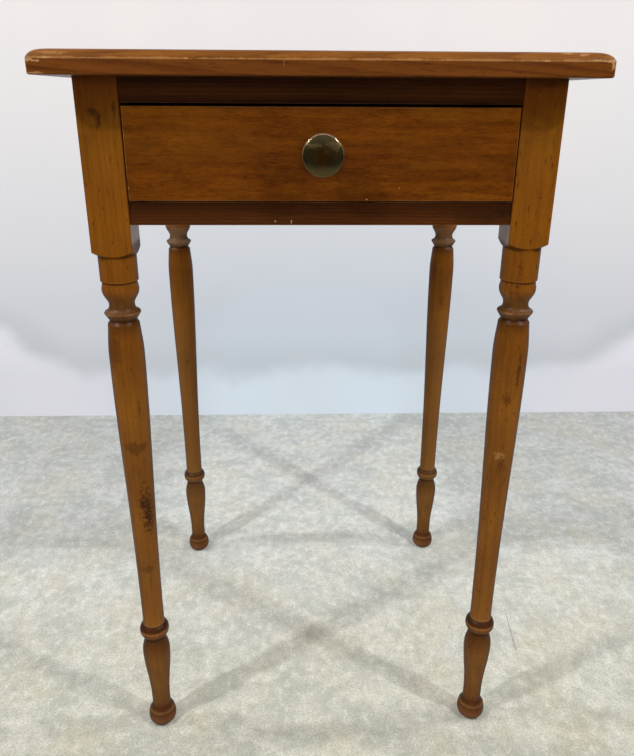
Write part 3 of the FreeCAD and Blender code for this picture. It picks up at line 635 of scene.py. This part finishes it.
def rail_finish(node_name, turn, heart, light, dark, foot_shade=0.0, wear=0.15, marks=()):
    """Dark stained rail wood: close straight grain, painted shade darkening it towards its top,
    rubbed along its arrises. foot_shade is how much painted shade darkens its lower edge too."""
    material, tree, place, shader = new_material("stained " + node_name)
    low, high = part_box(node_name)
    middle, half = middle_and_half(low, high)
    stick = moved(tree, place, middle, turn)
    wood = placed(tree, wood_grain, {
        "Place": stick, "Heart": heart, "Ring width": 2.6 * mm, "Rings": 0.35, "Fibres": 0.8,
        "Pores": 0.5, "Clouding": 0.9, "Shortness": 0.05, "Light": light, "Dark": dark})
    level = split(tree, place)["Z"]
    # Painted shade: darker towards the top, where the tabletop and the drawer front shade the rails
    base = tint(tree, between(tree, level, low.z + 3 * mm, high.z - 3 * mm), wood["Colour"],
                (0.55, 0.50, 0.45, 1), "MULTIPLY")
    # Painted shade along the lower edge, as much as foot_shade
    base = tint(tree, between(tree, level, low.z + 8 * mm, low.z, 0.0, foot_shade), base,
                (0.40, 0.32, 0.25, 1), "MULTIPLY")
    base = rubbed(tree, place, base, colour(126, 86, 52), wear, middle, half,
                  width=1.3 * mm, ragged=1.3)
    base = marked(tree, place, base, marks)
    varnished(tree, shader, stick, base, wood["Height"], gloss=0.5)
    return material


# Two pale nicks and a darker end on the lower rail
rail_nicks = [
    (colour(176, 140, 108), 0.55, (-40.5, -190, 589.5), (1.1, 4, 1.3), 0.5, 600.0),
    (colour(176, 140, 108), 0.55, (-26.5, -190, 589.0), (0.8, 4, 2.6), 0.6, 600.0),
    (colour(30, 14, 6), 0.5, (157, -190, 598), (9, 4, 8), 0.9, 200.0),
    (colour(34, 15, 3), 0.5, (140, -190, 597), (54, 4, 18), 0.6, 50.0),
]
rail_materials = {
    "rail_upper": rail_finish("rail_upper", along_x, (0.035, 0.020, 0),
                              colour(66, 32, 6), colour(36, 15, 2), foot_shade=1.0),
    "rail_lower": rail_finish("rail_lower", along_x, (0.028, -0.030, 0),
                              colour(75, 38, 10), colour(43, 20, 3), wear=0.45, marks=rail_nicks),
    "apron_left": rail_finish("apron_left", along_y, (0.070, 0.015, 0),
                              colour(112, 68, 26), colour(70, 38, 14)),
    "apron_right": rail_finish("apron_right", along_y, (-0.066, 0.022, 0),
                               colour(112, 68, 26), colour(70, 38, 14)),
    "apron_back": rail_finish("apron_back", along_x, (0.058, -0.028, 0),
                              colour(104, 62, 24), colour(66, 36, 13)),
}
for node_name, material in rail_materials.items():
    rail = piece_from(planed_copy(node_name, eased_arris), node_name + "_planed", material)
    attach(rail, "table")
    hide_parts(node_name)


# ---- Runners, kickers, guides and stops -----------------------------------------------------
# Bare strips inside the frame that carry and steer the drawer, nailed and glued to the aprons
# and never varnished: pale wood gone brown with age and grey along the drawer's track.

grain_lean = (0.03, 0.04, 0.03)


def bare_wood(name, turn, heart, light, dark):
    """Unvarnished inside wood, dusty and dull, with its grain nearly along the strip."""
    material, tree, place, shader = new_material(name)
    stick = moved(tree, place, turn=[main + lean for main, lean in zip(turn, grain_lean)])
    wood = placed(tree, wood_grain, {
        "Place": stick, "Heart": heart, "Ring width": 3.4 * mm, "Rings": 0.42, "Fibres": 0.7,
        "Pores": 0.25, "Clouding": 0.9, "Wander": 9 * mm, "Light": light, "Dark": dark})
    dust = noise(tree, place, 30, 3.0)
    base = tint(tree, between(tree, dust, 0.45, 0.75, 0.0, 0.35), wood["Colour"],
                colour(128, 112, 92))
    bump = add(tree, "Bump", {"Strength": 0.4, "Distance": 0.2 * mm, "Height": wood["Height"]})
    tree.links.new(base, shader.inputs["Base Color"])
    tree.links.new(bump.outputs[0], shader.inputs["Normal"])
    tree.links.new(between(tree, dust, 0.2, 0.8, 0.6, 0.85), shader.inputs["Roughness"])
    shader.inputs["Specular IOR Level"].default_value = 0.25
    return material


def finish_nodes(material, node_names):
    """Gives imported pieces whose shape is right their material."""
    for node_name in node_names:
        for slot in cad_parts[node_name].material_slots:
            slot.material = material


strip_wood = bare_wood("bare wood front to back", along_y, (0.0, 0.110, 0),
                       colour(176, 132, 80), colour(128, 86, 44))
cross_wood = bare_wood("bare wood side to side", along_x, (0.080, 0.020, 0),
                       colour(182, 140, 88), colour(132, 92, 50))
finish_nodes(strip_wood, ["runner_left", "runner_right", "kicker_left", "kicker_right",
                          "guide_left", "guide_right"])
finish_nodes(cross_wood, ["drawer_stops"])


# ---- Tabletop -------------------------------------------------------------------------------
# Three boards glued edge to edge, with a quarter round worked on the upper edge all round. The
# front edge is knocked and rubbed: the arris under the round has gone pale, and chips are out.

quarter_round = 9.0 * mm
quarter_round_drop = 6.9 * mm
quarter_round_steps = 12
top_corner = 4.0 * mm
top_corner_steps = 8
top_lower_arris = 1.5 * mm
top_lower_arris_steps = 4
top_low, top_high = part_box("top_board_front")[0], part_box("top_board_back")[1]
board_joints = (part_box("top_board_front")[1].y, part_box("top_board_middle")[1].y)


def top_rim(bm, inset, height, corner):
    """The top's outline at one height: straight sides and four rounded corners."""
    middle, half = middle_and_half(top_low, top_high)
    rim = []
    for quarter in range(4):
        side_x, side_y = ((1, 1), (-1, 1), (-1, -1), (1, -1))[quarter]
        centre = Vector((middle.x + side_x * (half.x - inset - corner),
                         middle.y + side_y * (half.y - inset - corner), height))
        for step in range(top_corner_steps + 1):
            angle = (quarter + step / top_corner_steps) * math.pi / 2
            outward = Vector((math.cos(angle), math.sin(angle), 0))
            rim.append(bm.verts.new(centre + corner * outward))
    return rim


def moulded_top():
    """The whole top before its joints: lower arris, square edge, quarter round and flat face.
    The corners were rounded over more towards the top."""
    bm = bmesh.new()
    rims = []
    for step in range(top_lower_arris_steps + 1):
        angle = step / top_lower_arris_steps * math.pi / 2
        rims.append(top_rim(bm, top_lower_arris * (1 - math.sin(angle)),
                            top_low.z + top_lower_arris * (1 - math.cos(angle)), top_corner))
    start = math.asin(1 - quarter_round_drop / quarter_round)
    for step in range(quarter_round_steps + 1):
        angle = start + (math.pi / 2 - start) * step / quarter_round_steps
        inset = quarter_round * (math.cos(start) - math.cos(angle))
        height = top_high.z - quarter_round * (1 - math.sin(angle))
        rims.append(top_rim(bm, inset, height, top_corner + inset))
    for lower, upper in zip(rims, rims[1:]):
        for here in range(len(lower)):
            there = (here + 1) % len(lower)
            bm.faces.new((lower[here], lower[there], upper[there], upper[here]))
    bm.faces.new(reversed(rims[0]))
    bm.faces.new(rims[-1])
    bmesh.ops.recalc_face_normals(bm, faces=bm.faces)
    return bm


chip = colour(170, 132, 88)
top_chips = [
    (chip, 0.7, (-226, -216, 716), (5, 5, 1.6), 0.8, 500.0),
    (chip, 0.7, (-220, -217, 715), (4, 4, 0.9), 0.9, 600.0),
    (chip, 0.5, (-212, -217, 717.5), (9, 4, 1.0), 0.9, 450.0),
    (chip, 0.5, (-222, -216, 706.5), (7, 4, 1.2), 0.9, 450.0),
    (chip, 0.25, (-206, -216, 721), (14, 5, 1.5), 0.9, 350.0),
    (chip, 0.65, (223, -216, 717), (6, 5, 1.3), 0.9, 500.0),
    (chip, 0.6, (226, -215, 713.5), (2.5, 5, 3.5), 0.9, 500.0),
    (chip, 0.5, (213, -216, 718), (9, 5, 1.0), 1.0, 450.0),
    (chip, 0.5, (203, -215, 722), (5, 5, 1.2), 0.9, 500.0),
    (chip, 0.5, (190, -214, 723), (5, 5, 1.0), 0.9, 500.0),
    (chip, 0.5, (173, -217, 717.3), (3, 4, 0.8), 0.9, 500.0),
    (chip, 0.45, (-105.7, -217, 717.4), (2.0, 4, 0.9), 0.5, 600.0),
    (chip, 0.3, (-31, -217, 714.6), (0.4, 4, 3.0), 0.3, 600.0),
    (black, 0.5, (-74.8, -217, 710.1), (0.8, 4, 0.8), 0.3, 600.0),
]
# Painted light and shade: the square edge is painted darker, as in shade, and the moulding above it
# paler and bluer, as lit from above with a sheen. The two turn between these heights
square_edge_ends = (716.5 * mm, 717.5 * mm)
square_edge_shade = (0.68, 0.70, 0.82, 1)
moulding_sheen = (0.98, 1.18, 1.42, 1)


def top_finish(name, heart, lean):
    """Red-brown varnished top: calm grain, arrises worn pale, chips out of its front edge, and
    painted light on its moulding over painted shade on its square edge.
    The tree's heart leans through the board, so its rings run out along the face."""
    material, tree, place, shader = new_material(name)
    board = moved(tree, place, (top_low + top_high) / 2, (0, math.pi / 2 + lean, lean / 3))
    wood = placed(tree, wood_grain, {
        "Place": board, "Heart": heart, "Ring width": 4.2 * mm, "Rings": 0.34, "Fibres": 0.7,
        "Pores": 0.45, "Clouding": 0.8, "Shortness": 0.05, "Wander": 8 * mm,
        "Light": colour(124, 68, 18), "Dark": colour(78, 37, 6)})
    parts = split(tree, place)
    # Painted light and shade, not a stain: the moulding lit and sheened, the square edge shaded
    stain = tint(tree, between(tree, parts["Z"], *square_edge_ends), square_edge_shade,
                 moulding_sheen)
    base = tint(tree, 1.0, wood["Colour"], stain, "MULTIPLY")
    square_edge = Vector((top_high.x, top_high.y, top_high.z - quarter_round_drop))
    base = rubbed(tree, place, base, colour(168, 122, 74), 0.4,
                  *middle_and_half(top_low, square_edge), width=0.7 * mm, ragged=2.0)
    for joint in board_joints:
        off_joint = maths(tree, "ABSOLUTE", maths(tree, "SUBTRACT", parts["Y"], joint))
        base = tint(tree, between(tree, off_joint, 0.1 * mm, 0.35 * mm, 0.75, 0.0), base,
                    colour(40, 20, 9))
    base = marked(tree, place, base, top_chips)
    varnished(tree, shader, board, base, wood["Height"], gloss=0.42, depth=0.1 * mm)
    return material


# Where each board's tree had its heart, across the board, and how the heart leans along it
board_hearts = {
    "top_board_front": ((0.066, -0.122, 0), 0.05),
    "top_board_middle": ((-0.061, -0.012, 0), 0.075),
    "top_board_back": ((0.058, 0.160, 0), -0.055),
}
for board_name, (heart, lean) in board_hearts.items():
    low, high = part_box(board_name)
    board_shape = moulded_top()
    for joint in board_joints:
        if low.y > joint - 1 * mm:
            sawn(board_shape, Vector((0, joint, 0)), Vector((0, -1, 0)))
        if high.y < joint + 1 * mm:
            sawn(board_shape, Vector((0, joint, 0)), Vector((0, 1, 0)))
    board = piece_from(board_shape, board_name + "_moulded",
                       top_finish("top " + board_name, heart, lean))
    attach(board, "table")
    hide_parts(board_name)


# ---- Screws and nails -----------------------------------------------------------------------
# Six slotted wood screws hold the top from below, and cut nails hold the strips and the
# drawer's bottom. Plain steel, dulled brown with age.

def steel_finish():
    """Plain steel, gone brown and dull in spots."""
    material, tree, place, shader = new_material("old steel")
    spots = noise(tree, place, 700, 3.0, 0.6)
    rust = between(tree, spots, 0.5, 0.68)
    tree.links.new(tint(tree, rust, colour(118, 114, 108), colour(84, 52, 34)),
                   shader.inputs["Base Color"])
    tree.links.new(between(tree, rust, 0.0, 1.0, 1.0, 0.15), shader.inputs["Metallic"])
    tree.links.new(between(tree, rust, 0.0, 1.0, 0.38, 0.8), shader.inputs["Roughness"])
    bump = add(tree, "Bump", {"Strength": 0.4, "Distance": 0.05 * mm, "Height": spots})
    tree.links.new(bump.outputs[0], shader.inputs["Normal"])
    return material


old_steel = steel_finish()
finish_nodes(old_steel, ["top_screws", "runner_nails", "kicker_nails", "drawer_bottom_nails",
                         "knob_screw"])


# ---- Drawer box -----------------------------------------------------------------------------
# Sides and back of thin pale wood, dovetailed together, and a thin bottom slid into grooves
# from behind. Bare inside and out, browner where hands and dust reach.

box_arris = 0.4 * mm
side_wood = bare_wood("drawer sides", along_y, (0.06, 0.05, 0),
                      colour(184, 140, 86), colour(140, 98, 54))
bottom_wood = bare_wood("drawer back and bottom", along_x, (0.07, 0.10, 0),
                        colour(190, 148, 96), colour(146, 104, 60))
box_woods = {"drawer_side_left": side_wood, "drawer_side_right": side_wood,
             "drawer_back": bottom_wood, "drawer_bottom": bottom_wood}
for node_name, material in box_woods.items():
    panel = piece_from(planed_copy(node_name, box_arris), node_name + "_planed", material)
    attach(panel, "drawer")
    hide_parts(node_name)


# ---- Drawer front ---------------------------------------------------------------------------
# One board of the same wood as the top, its face varnished red-brown and painted lighter and darker
# in bands for light and shade, and its arrises rounded and rubbed pale, partly a painted highlight.
# Half-blind dovetails hold it to the sides.

front_arris = 0.3 * mm

# Height above the board's lower edge (mm), and what the wood is multiplied by there: painted light
# and shade that even out the lamps' light and the tabletop's shadow, paler at the top and darker
# across the middle
drawer_light_and_shade = [
    (0.0, (0.80, 0.77, 0.60)), (10.0, (0.78, 0.73, 0.60)), (18.0, (0.74, 0.68, 0.56)),
    (25.0, (0.66, 0.60, 0.52)), (38.0, (0.63, 0.57, 0.50)), (45.0, (0.65, 0.60, 0.50)),
    (51.0, (0.72, 0.68, 0.56)), (56.0, (0.86, 0.79, 0.66)), (62.0, (1.16, 1.07, 0.88)),
    (70.0, (1.14, 1.05, 0.85)), (75.0, (0.97, 1.00, 0.85)),
]
pale = colour(190, 150, 110)
drawer_marks = [
    # soft darker and paler streaks
    (colour(66, 28, 0), 0.4, (0, -190, 603), (75, 4, 17), 0.6, 40.0),
    (colour(136, 82, 10), 0.12, (108, -190, 637), (46, 4, 4.0), 1.0, 50.0),
    (colour(140, 84, 10), 0.22, (120, -190, 677), (75, 4, 8), 0.7, 40.0),
    (colour(134, 88, 10), 0.08, (-118, -190, 662), (72, 4, 30), 0.7, 40.0),
    (colour(134, 78, 10), 0.2, (120, -190, 611), (44, 4, 3.4), 1.0, 50.0),
    (colour(70, 34, 8), 0.5, (-163, -190, 621), (5, 4, 8), 1.0, 160.0),
    # knocks through to the bare wood
    (pale, 0.5, (-165, -190, 617.5), (1.4, 4, 1.0), 0.8, 600.0),
    (pale, 0.45, (166.5, -190, 617), (0.8, 4, 2.6), 0.7, 500.0),
    (pale, 0.4, (66.5, -190, 618), (0.8, 4, 0.8), 0.4, 600.0),
    (pale, 0.55, (38.5, -190, 608.5), (0.8, 4, 0.8), 0.4, 600.0),
]


def drawer_front_finish():
    """Red-brown varnished board with painted light and shade in bands: paler at its top and darker
    across its middle, with short fine grain and streaks.
    """
    material, tree, place, shader = new_material("red-brown drawer front")
    middle, half = middle_and_half(*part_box("drawer_front"))
    board = moved(tree, place, middle, along_x)
    wood = placed(tree, wood_grain, {
        "Place": board, "Heart": (0.016, 0.120, 0), "Ring width": 3.4 * mm, "Rings": 0.12,
        "Fibres": 1.0, "Pores": 0.26, "Clouding": 0.55, "Shortness": 0.16, "Wander": 10 * mm,
        "Light": colour(123, 68, 6), "Dark": colour(62, 26, 0)})
    level = maths(tree, "SUBTRACT", split(tree, place)["Z"], middle.z - half.z)
    # Painted light and shade in bands by height
    base = tint(tree, 1.0, wood["Colour"], bands(tree, level, drawer_light_and_shade), "MULTIPLY")
    # Pale arrises: partly rubbed wear, partly a painted highlight along them
    base = rubbed(tree, place, base, colour(150, 96, 48), 0.5, middle, half,
                  width=1.5 * mm, ragged=0.8)
    base = marked(tree, place, base, drawer_marks)
    varnished(tree, shader, board, base, wood["Height"], gloss=0.42)
    return material


front = piece_from(planed_copy("drawer_front", front_arris), "drawer_front_planed",
                   drawer_front_finish())
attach(front, "drawer")
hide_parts("drawer_front")


# ---- Knob -----------------------------------------------------------------------------------
# A cast and turned brass knob with a wide shallow dome, held by a machine screw and a washer
# from inside the drawer. Lacquer long gone: olive-brown, brighter where fingers rub the rim, with a
# painted highlight along the rim's top and painted reflections on the dome.

# Radius and distance out from the drawer's face (mm), from the foot to the middle of the dome
knob_pattern = [
    [(9.0, 0.0)],                                               # foot
    [(9.0, 1.9)],
    [(9.0, 2.25), (8.75, 2.5), (8.4, 2.5)],
    [(7.2, 2.5), (6.0, 3.4), (6.0, 5.0)],                       # neck
    [(6.0, 8.5)],
    [(6.0, 13.0), (10.5, 15.2), (16.0, 16.5)],                  # flare
    [(16.9, 16.7), (17.5, 17.5), (17.5, 18.5)],                 # rim
    [(17.5, 19.9), (17.1, 20.9), (16.4, 21.3)],
    [(11.6, 23.6), (5.6, 25.0), (0.0, 25.0)],                   # dome
]
# Paler patches on the dome's upper left and upper right: painted reflections
knob_painted_reflections = [
    (colour(150, 128, 84), 0.5, (-8, -214, 654), (6.5, 8, 2.2), 1.3, 300.0),
    (colour(136, 116, 70), 0.55, (9.5, -214, 654), (6.5, 8, 5.0), 1.1, 250.0),
]


def brass_finish():
    """Brass that has lost its lacquer: olive-brown tarnish, brighter metal on the rim that is
    painted brightest at its top as a highlight, and two painted reflections on the dome.
    """
    material, tree, place, shader = new_material("aged brass")
    low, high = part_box("brass_knob")
    spot = moved(tree, place, (low + high) / 2)
    cloud = noise(tree, spot, 110, 4.0, 0.65)
    fine = noise(tree, spot, 1100, 3.0, 0.6)
    dents = noise(tree, spot, 95)
    across = distance(tree, stretched(tree, spot, (1, 0, 1)))
    base = tint(tree, between(tree, across, 3 * mm, 13 * mm), colour(86, 56, 20),
                colour(80, 70, 44))
    base = tint(tree, between(tree, cloud, 0.42, 0.70, 0.0, 0.6), base, colour(100, 82, 44))
    base = tint(tree, between(tree, fine, 0.55, 0.7, 0.0, 0.5), base, colour(50, 38, 22))
    base = marked(tree, place, base, knob_painted_reflections)
    rim = between(tree, across, 16.2 * mm, 17.0 * mm)
    # Painted highlight: the rim's rubbed metal is painted brighter towards its top
    worn = between(tree, split(tree, spot)["Z"], -4 * mm, 8 * mm, 0.15, 0.95)
    base = tint(tree, maths(tree, "MULTIPLY", rim, worn), base, colour(232, 196, 160))
    tree.links.new(base, shader.inputs["Base Color"])
    rough = between(tree, cloud, 0.2, 0.8, 0.18, 0.30)
    rough = add(tree, "Mix", {0: rim, 2: rough, 3: 0.15}).outputs[0]
    tree.links.new(rough, shader.inputs["Roughness"])
    shader.inputs["Metallic"].default_value = 0.86
    deep = add(tree, "Bump", {"Strength": 0.6, "Distance": 0.5 * mm, "Height": dents})
    bump = add(tree, "Bump", {"Strength": 0.25, "Distance": 0.05 * mm, "Height": fine,
                              "Normal": deep.outputs[0]})
    tree.links.new(bump.outputs[0], shader.inputs["Normal"])
    return material


aged_brass = brass_finish()
low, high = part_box("brass_knob")
knob_outline = outline_points(knob_pattern, fine=0.6 * mm, coarse=0.6 * mm)
knob_shape = turned(knob_outline, Vector((0, 0, 0)))
bmesh.ops.rotate(knob_shape, verts=knob_shape.verts, matrix=Matrix.Rotation(math.pi / 2, 3, "X"))
bmesh.ops.translate(knob_shape, verts=knob_shape.verts,
                    vec=((low.x + high.x) / 2, high.y, (low.z + high.z) / 2))
knob = piece_from(knob_shape, "knob_turned", aged_brass)
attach(knob, "drawer")
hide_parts("brass_knob")
finish_nodes(aged_brass, ["knob_washer"])


# ---- Room, lamps and camera -----------------------------------------------------------------
# A pale printed floor, a white cloth hung behind the table with light and shade painted on it, four
# small lamps overhead, whose shadows cross on the floor, and a large soft lamp in front. None of it
# is part of the table.

# Painted light on what is seen of the room: how much brighter its glowing colour is painted at each
# height above the floor (mm)
room_painted_light = [
    (0, (0.95, 0.95, 0.95)), (100, (0.95, 0.95, 0.95)), (200, (1.07, 1.07, 1.07)),
    (320, (1.11, 1.10, 1.10)), (400, (1.17, 1.16, 1.15)), (627, (1.27, 1.26, 1.24)),
    (820, (1.34, 1.32, 1.30)), (1200, (1.34, 1.32, 1.30)),
]
# In varnish and brass the room grows dark between these places in Y, in front of the table, and
# between these distances from the table's middle all that is seen of it turns plain (m)
dark_side = (-0.8, -1.5)
turns_plain = (1.1, 2.6)


def room_finish(name, shade, dark_share, near_glow):
    """A pale surface of the room, whose back can be looked through. Varnish and brass see
    dark_share of its dark side as dark. near_glow of what is seen of it is its plain colour
    glowing as painted light, with no shadow of the table on it, and far from the table all of it
    is."""
    material, tree, place, shader = new_material(name)
    light_path = add(tree, "LightPath").outputs
    seen = light_path["Is Camera Ray"]
    tone = shade(tree, place)
    parts = split(tree, place)
    dim = maths(tree, "MULTIPLY", light_path["Is Glossy Ray"],
                between(tree, parts["Y"], *dark_side), dark_share)
    tree.links.new(tint(tree, dim, tone, colour(18, 17, 16)), shader.inputs["Base Color"])
    shader.inputs["Roughness"].default_value = 0.85
    shader.inputs["Specular IOR Level"].default_value = 0.1
    # Painted light: the seen colour is brightened by height
    glow = tint(tree, 1.0, tone, bands(tree, parts["Z"], room_painted_light), "MULTIPLY")
    plain = add(tree, "Emission", {0: glow})
    plain_share = between(tree, distance(tree, place), *turns_plain, near_glow, 1.0)
    front = add(tree, "MixShader", {0: maths(tree, "MULTIPLY", seen, plain_share),
                                    1: shader.outputs[0], 2: plain.outputs[0]})
    backfacing = add(tree, "NewGeometry").outputs["Backfacing"]
    clear = add(tree, "BsdfTransparent")
    both = add(tree, "MixShader", {0: maths(tree, "MULTIPLY", backfacing, seen),
                                   1: front.outputs[0], 2: clear.outputs[0]})
    tree.links.new(both.outputs[0], tree.nodes["Material Output"].inputs["Surface"])
    # The plain colour is only looked at, and lights nothing
    material.cycles.emission_sampling = "NONE"
    return material


# Small dark specks on the floor, in X and Y (mm), and the places in Y between which the floor
# turns warmer towards the front (m)
floor_specks = [(-284, 343), (399, 384), (307, 414), (323, 316), (-335, 214)]
floor_warms = (0.35, -0.25)


def floor_shade(tree, place):
    """Pale sheet flooring printed like brushed plaster: grey and warm white, coarse to fine."""
    wash = noise(tree, stretched(tree, place, (1.0, 1.2, 1)), 15, 7.0, 0.66)
    scumble = noise(tree, stretched(tree, place, (1.3, 1.0, 1)), 58, 5.0, 0.7)
    speck = noise(tree, place, 420, 3.0, 0.8)
    warmth = noise(tree, place, 9, 5.0, 0.6)
    base = tint(tree, between(tree, wash, 0.36, 0.64), colour(184, 187, 183), colour(209, 211, 208))
    base = tint(tree, between(tree, warmth, 0.45, 0.62, 0.0, 0.5), base, colour(206, 200, 184))
    base = tint(tree, between(tree, scumble, 0.35, 0.50, 0.6, 0.0), base, colour(172, 174, 168))
    base = tint(tree, between(tree, scumble, 0.50, 0.66, 0.0, 0.7), base, colour(224, 226, 224))
    base = tint(tree, between(tree, speck, 0.34, 0.54, 0.8, 0.0), base, colour(158, 160, 155))
    base = tint(tree, between(tree, speck, 0.58, 0.72, 0.0, 0.6), base, colour(228, 228, 224))
    scratch = moved(tree, place, (273 * mm, -40 * mm, 0), (0, 0, math.radians(-5.5)))
    base = marked(tree, scratch, base,
                  [(colour(104, 100, 92), 0.55, (0, 0, 0), (1.0, 60, 5), 0.9, 90.0)])
    base = marked(tree, place, base, [
        (colour(84, 80, 74), 0.6, (*spot, 0), (3.0, 2.2, 5), 0.5, 300.0) for spot in floor_specks])
    return tint(tree, between(tree, split(tree, place)["Y"], *floor_warms), base,
                colour(241, 237, 225), "MULTIPLY")


# The painted shade of the cloth's swag: its middle in X, how far to each side its fold lies level
# and how much further it is seen, and the fold's height at its lowest (m)
swag_middle = 0.05
swag_level = 0.55
swag_seen = 0.25
fold_height = 0.122


def wall_shade(tree, place):
    """White cloth with a shallow swag painted on it: painted shade along a soft fold low down,
    painted light below the fold and towards the top, and a painted shadow of the table across its
    middle.
    """
    parts = split(tree, place)
    height = parts["Z"]
    aside = maths(tree, "ABSOLUTE", maths(tree, "SUBTRACT", parts["X"], swag_middle))
    out = maths(tree, "MAXIMUM", maths(tree, "SUBTRACT", aside, swag_level), 0.0)
    out = maths(tree, "MINIMUM", out, swag_seen)
    climb = maths(tree, "MULTIPLY", maths(tree, "POWER", out, 1.1), 0.7)
    fold = maths(tree, "ADD", fold_height, climb)
    above = maths(tree, "SUBTRACT", height, fold,
                  offset(tree, noise(tree, place, 7, 3.0), 0.5, 0.10))
    soft = noise(tree, stretched(tree, place, (1.0, 1.0, 0.5)), 3.5, 3.0)
    low_tone = tint(tree, between(tree, aside, 0.25, 0.55), colour(194, 203, 211),
                    colour(199, 202, 208))
    # Painted light: paler towards the top
    base = tint(tree, between(tree, height, 0.1, 0.9), low_tone, colour(213, 208, 207))
    under_fold = tint(tree, between(tree, aside, 0.25, 0.6), colour(214, 226, 236),
                      colour(224, 223, 231))
    # Painted light: paler below the fold
    base = tint(tree, between(tree, above, 0.01, -0.04), base, under_fold)
    # Painted shade along the fold
    shade = maths(tree, "MULTIPLY", between(tree, above, 0.08, 0.0),
                  between(tree, above, -0.06, 0.0), between(tree, out, 0.0, 0.1, 0.1, 0.24))
    base = tint(tree, shade, base, colour(160, 163, 168))
    base = tint(tree, between(tree, soft, 0.3, 0.7, 0.0, 0.3), base, colour(199, 202, 207))
    # Painted shadow of the table: a little darker in the middle, at the table's height
    hollow = maths(tree, "MULTIPLY", between(tree, aside, 0.6, 0.2),
                   between(tree, height, 0.12, 0.24), between(tree, height, 0.60, 0.45))
    return tint(tree, hollow, base, colour(251, 251, 252), "MULTIPLY")


room_reach = 6.0
wall_distance = 0.69
upright = Matrix.Rotation(math.pi / 2, 4, "X")


def flat_sheet(name, place, material):
    """One flat surface of the room."""
    bm = bmesh.new()
    bmesh.ops.create_grid(bm, x_segments=1, y_segments=1, size=room_reach, matrix=place)
    sheet = piece_from(bm, name, material)


flat_sheet("floor", Matrix.Identity(4),
           room_finish("floor sheet", floor_shade, dark_share=1.0, near_glow=0.0))
flat_sheet("backdrop", Matrix.Translation((0, wall_distance, 0)) @ upright,
           room_finish("backdrop cloth", wall_shade, dark_share=0.0, near_glow=0.8))


def lamp(name, place, aim, size, watts, seen_in_gloss=True):
    """A flat lamp that faces what it is aimed at."""
    light = bpy.data.lights.new(name, "AREA")
    light.shape = "RECTANGLE"
    light.size, light.size_y = size
    light.energy = watts
    lamp_object = bpy.data.objects.new(name, light)
    bpy.context.scene.collection.objects.link(lamp_object)
    lamp_object.location = place
    lamp_object.rotation_mode = "QUATERNION"
    lamp_object.rotation_quaternion = (Vector(aim) - Vector(place)).to_track_quat("-Z", "Y")
    lamp_object.visible_glossy = seen_in_gloss
    return lamp_object


table_middle = (0, 0, 0.35)
bulb = (0.08, 0.08)
for row, aside, depth, height, watts in (("lamp front", 1.0, -0.78, 1.6, 15),
                                         ("lamp", 1.5, 0.02, 1.7, 11)):
    lamp(row + " left", (-aside, depth, height), table_middle, bulb, watts)
    lamp(row + " right", (aside, depth, height), table_middle, bulb, watts)
lamp("soft front", (0, -3.4, 0.9), table_middle, (2.6, 1.4), 60, seen_in_gloss=False)
ceiling = lamp("ceiling in the gloss", (0, -0.72, 2.3), (0, -0.5, 0), (1.7, 0.5), 4)
ceiling.visible_diffuse = False

# The rest of the room: pale to the eye, and in varnish and brass dark in front of the table,
# pale behind it and overhead
world = bpy.data.worlds.new("studio")
bpy.context.scene.world = world
world.use_nodes = True
sky = world.node_tree
background = sky.nodes["Background"]
sky_path = add(sky, "LightPath").outputs
direction = split(sky, add(sky, "TexCoord").outputs["Generated"])
pale_side = maths(sky, "MAXIMUM", between(sky, direction["Y"], -0.35, 0.35),
                  between(sky, direction["Z"], 0.25, 0.75))
in_gloss = tint(sky, pale_side, (0.02, 0.018, 0.016, 1), (0.5, 0.52, 0.55, 1))
sky_tone = tint(sky, sky_path["Is Glossy Ray"], (0.11, 0.112, 0.118, 1), in_gloss)
sky_tone = tint(sky, sky_path["Is Camera Ray"], sky_tone, colour(222, 225, 228))
sky.links.new(sky_tone, background.inputs["Color"])
background.inputs["Strength"].default_value = 1.0

# The camera stands in front, a little left of the middle, and looks down at the table
camera_place = (-0.0233, -0.8123, 0.69185)
yaw, pitch, roll = (math.radians(angle) for angle in (1.83, -21.81, 0.32))
lens = bpy.data.cameras.new("camera")
lens.sensor_width = 36.0
lens.lens = 33.677
lens.clip_start = 0.01
camera = bpy.data.objects.new("camera", lens)
bpy.context.scene.collection.objects.link(camera)
camera.matrix_world = (Matrix.Translation(camera_place) @ Matrix.Rotation(-yaw, 4, "Z")
                       @ Matrix.Rotation(math.pi / 2 + pitch, 4, "X")
                       @ Matrix.Rotation(roll, 4, "Z"))
bpy.context.scene.camera = camera
bpy.context.scene.view_settings.view_transform = "Standard"
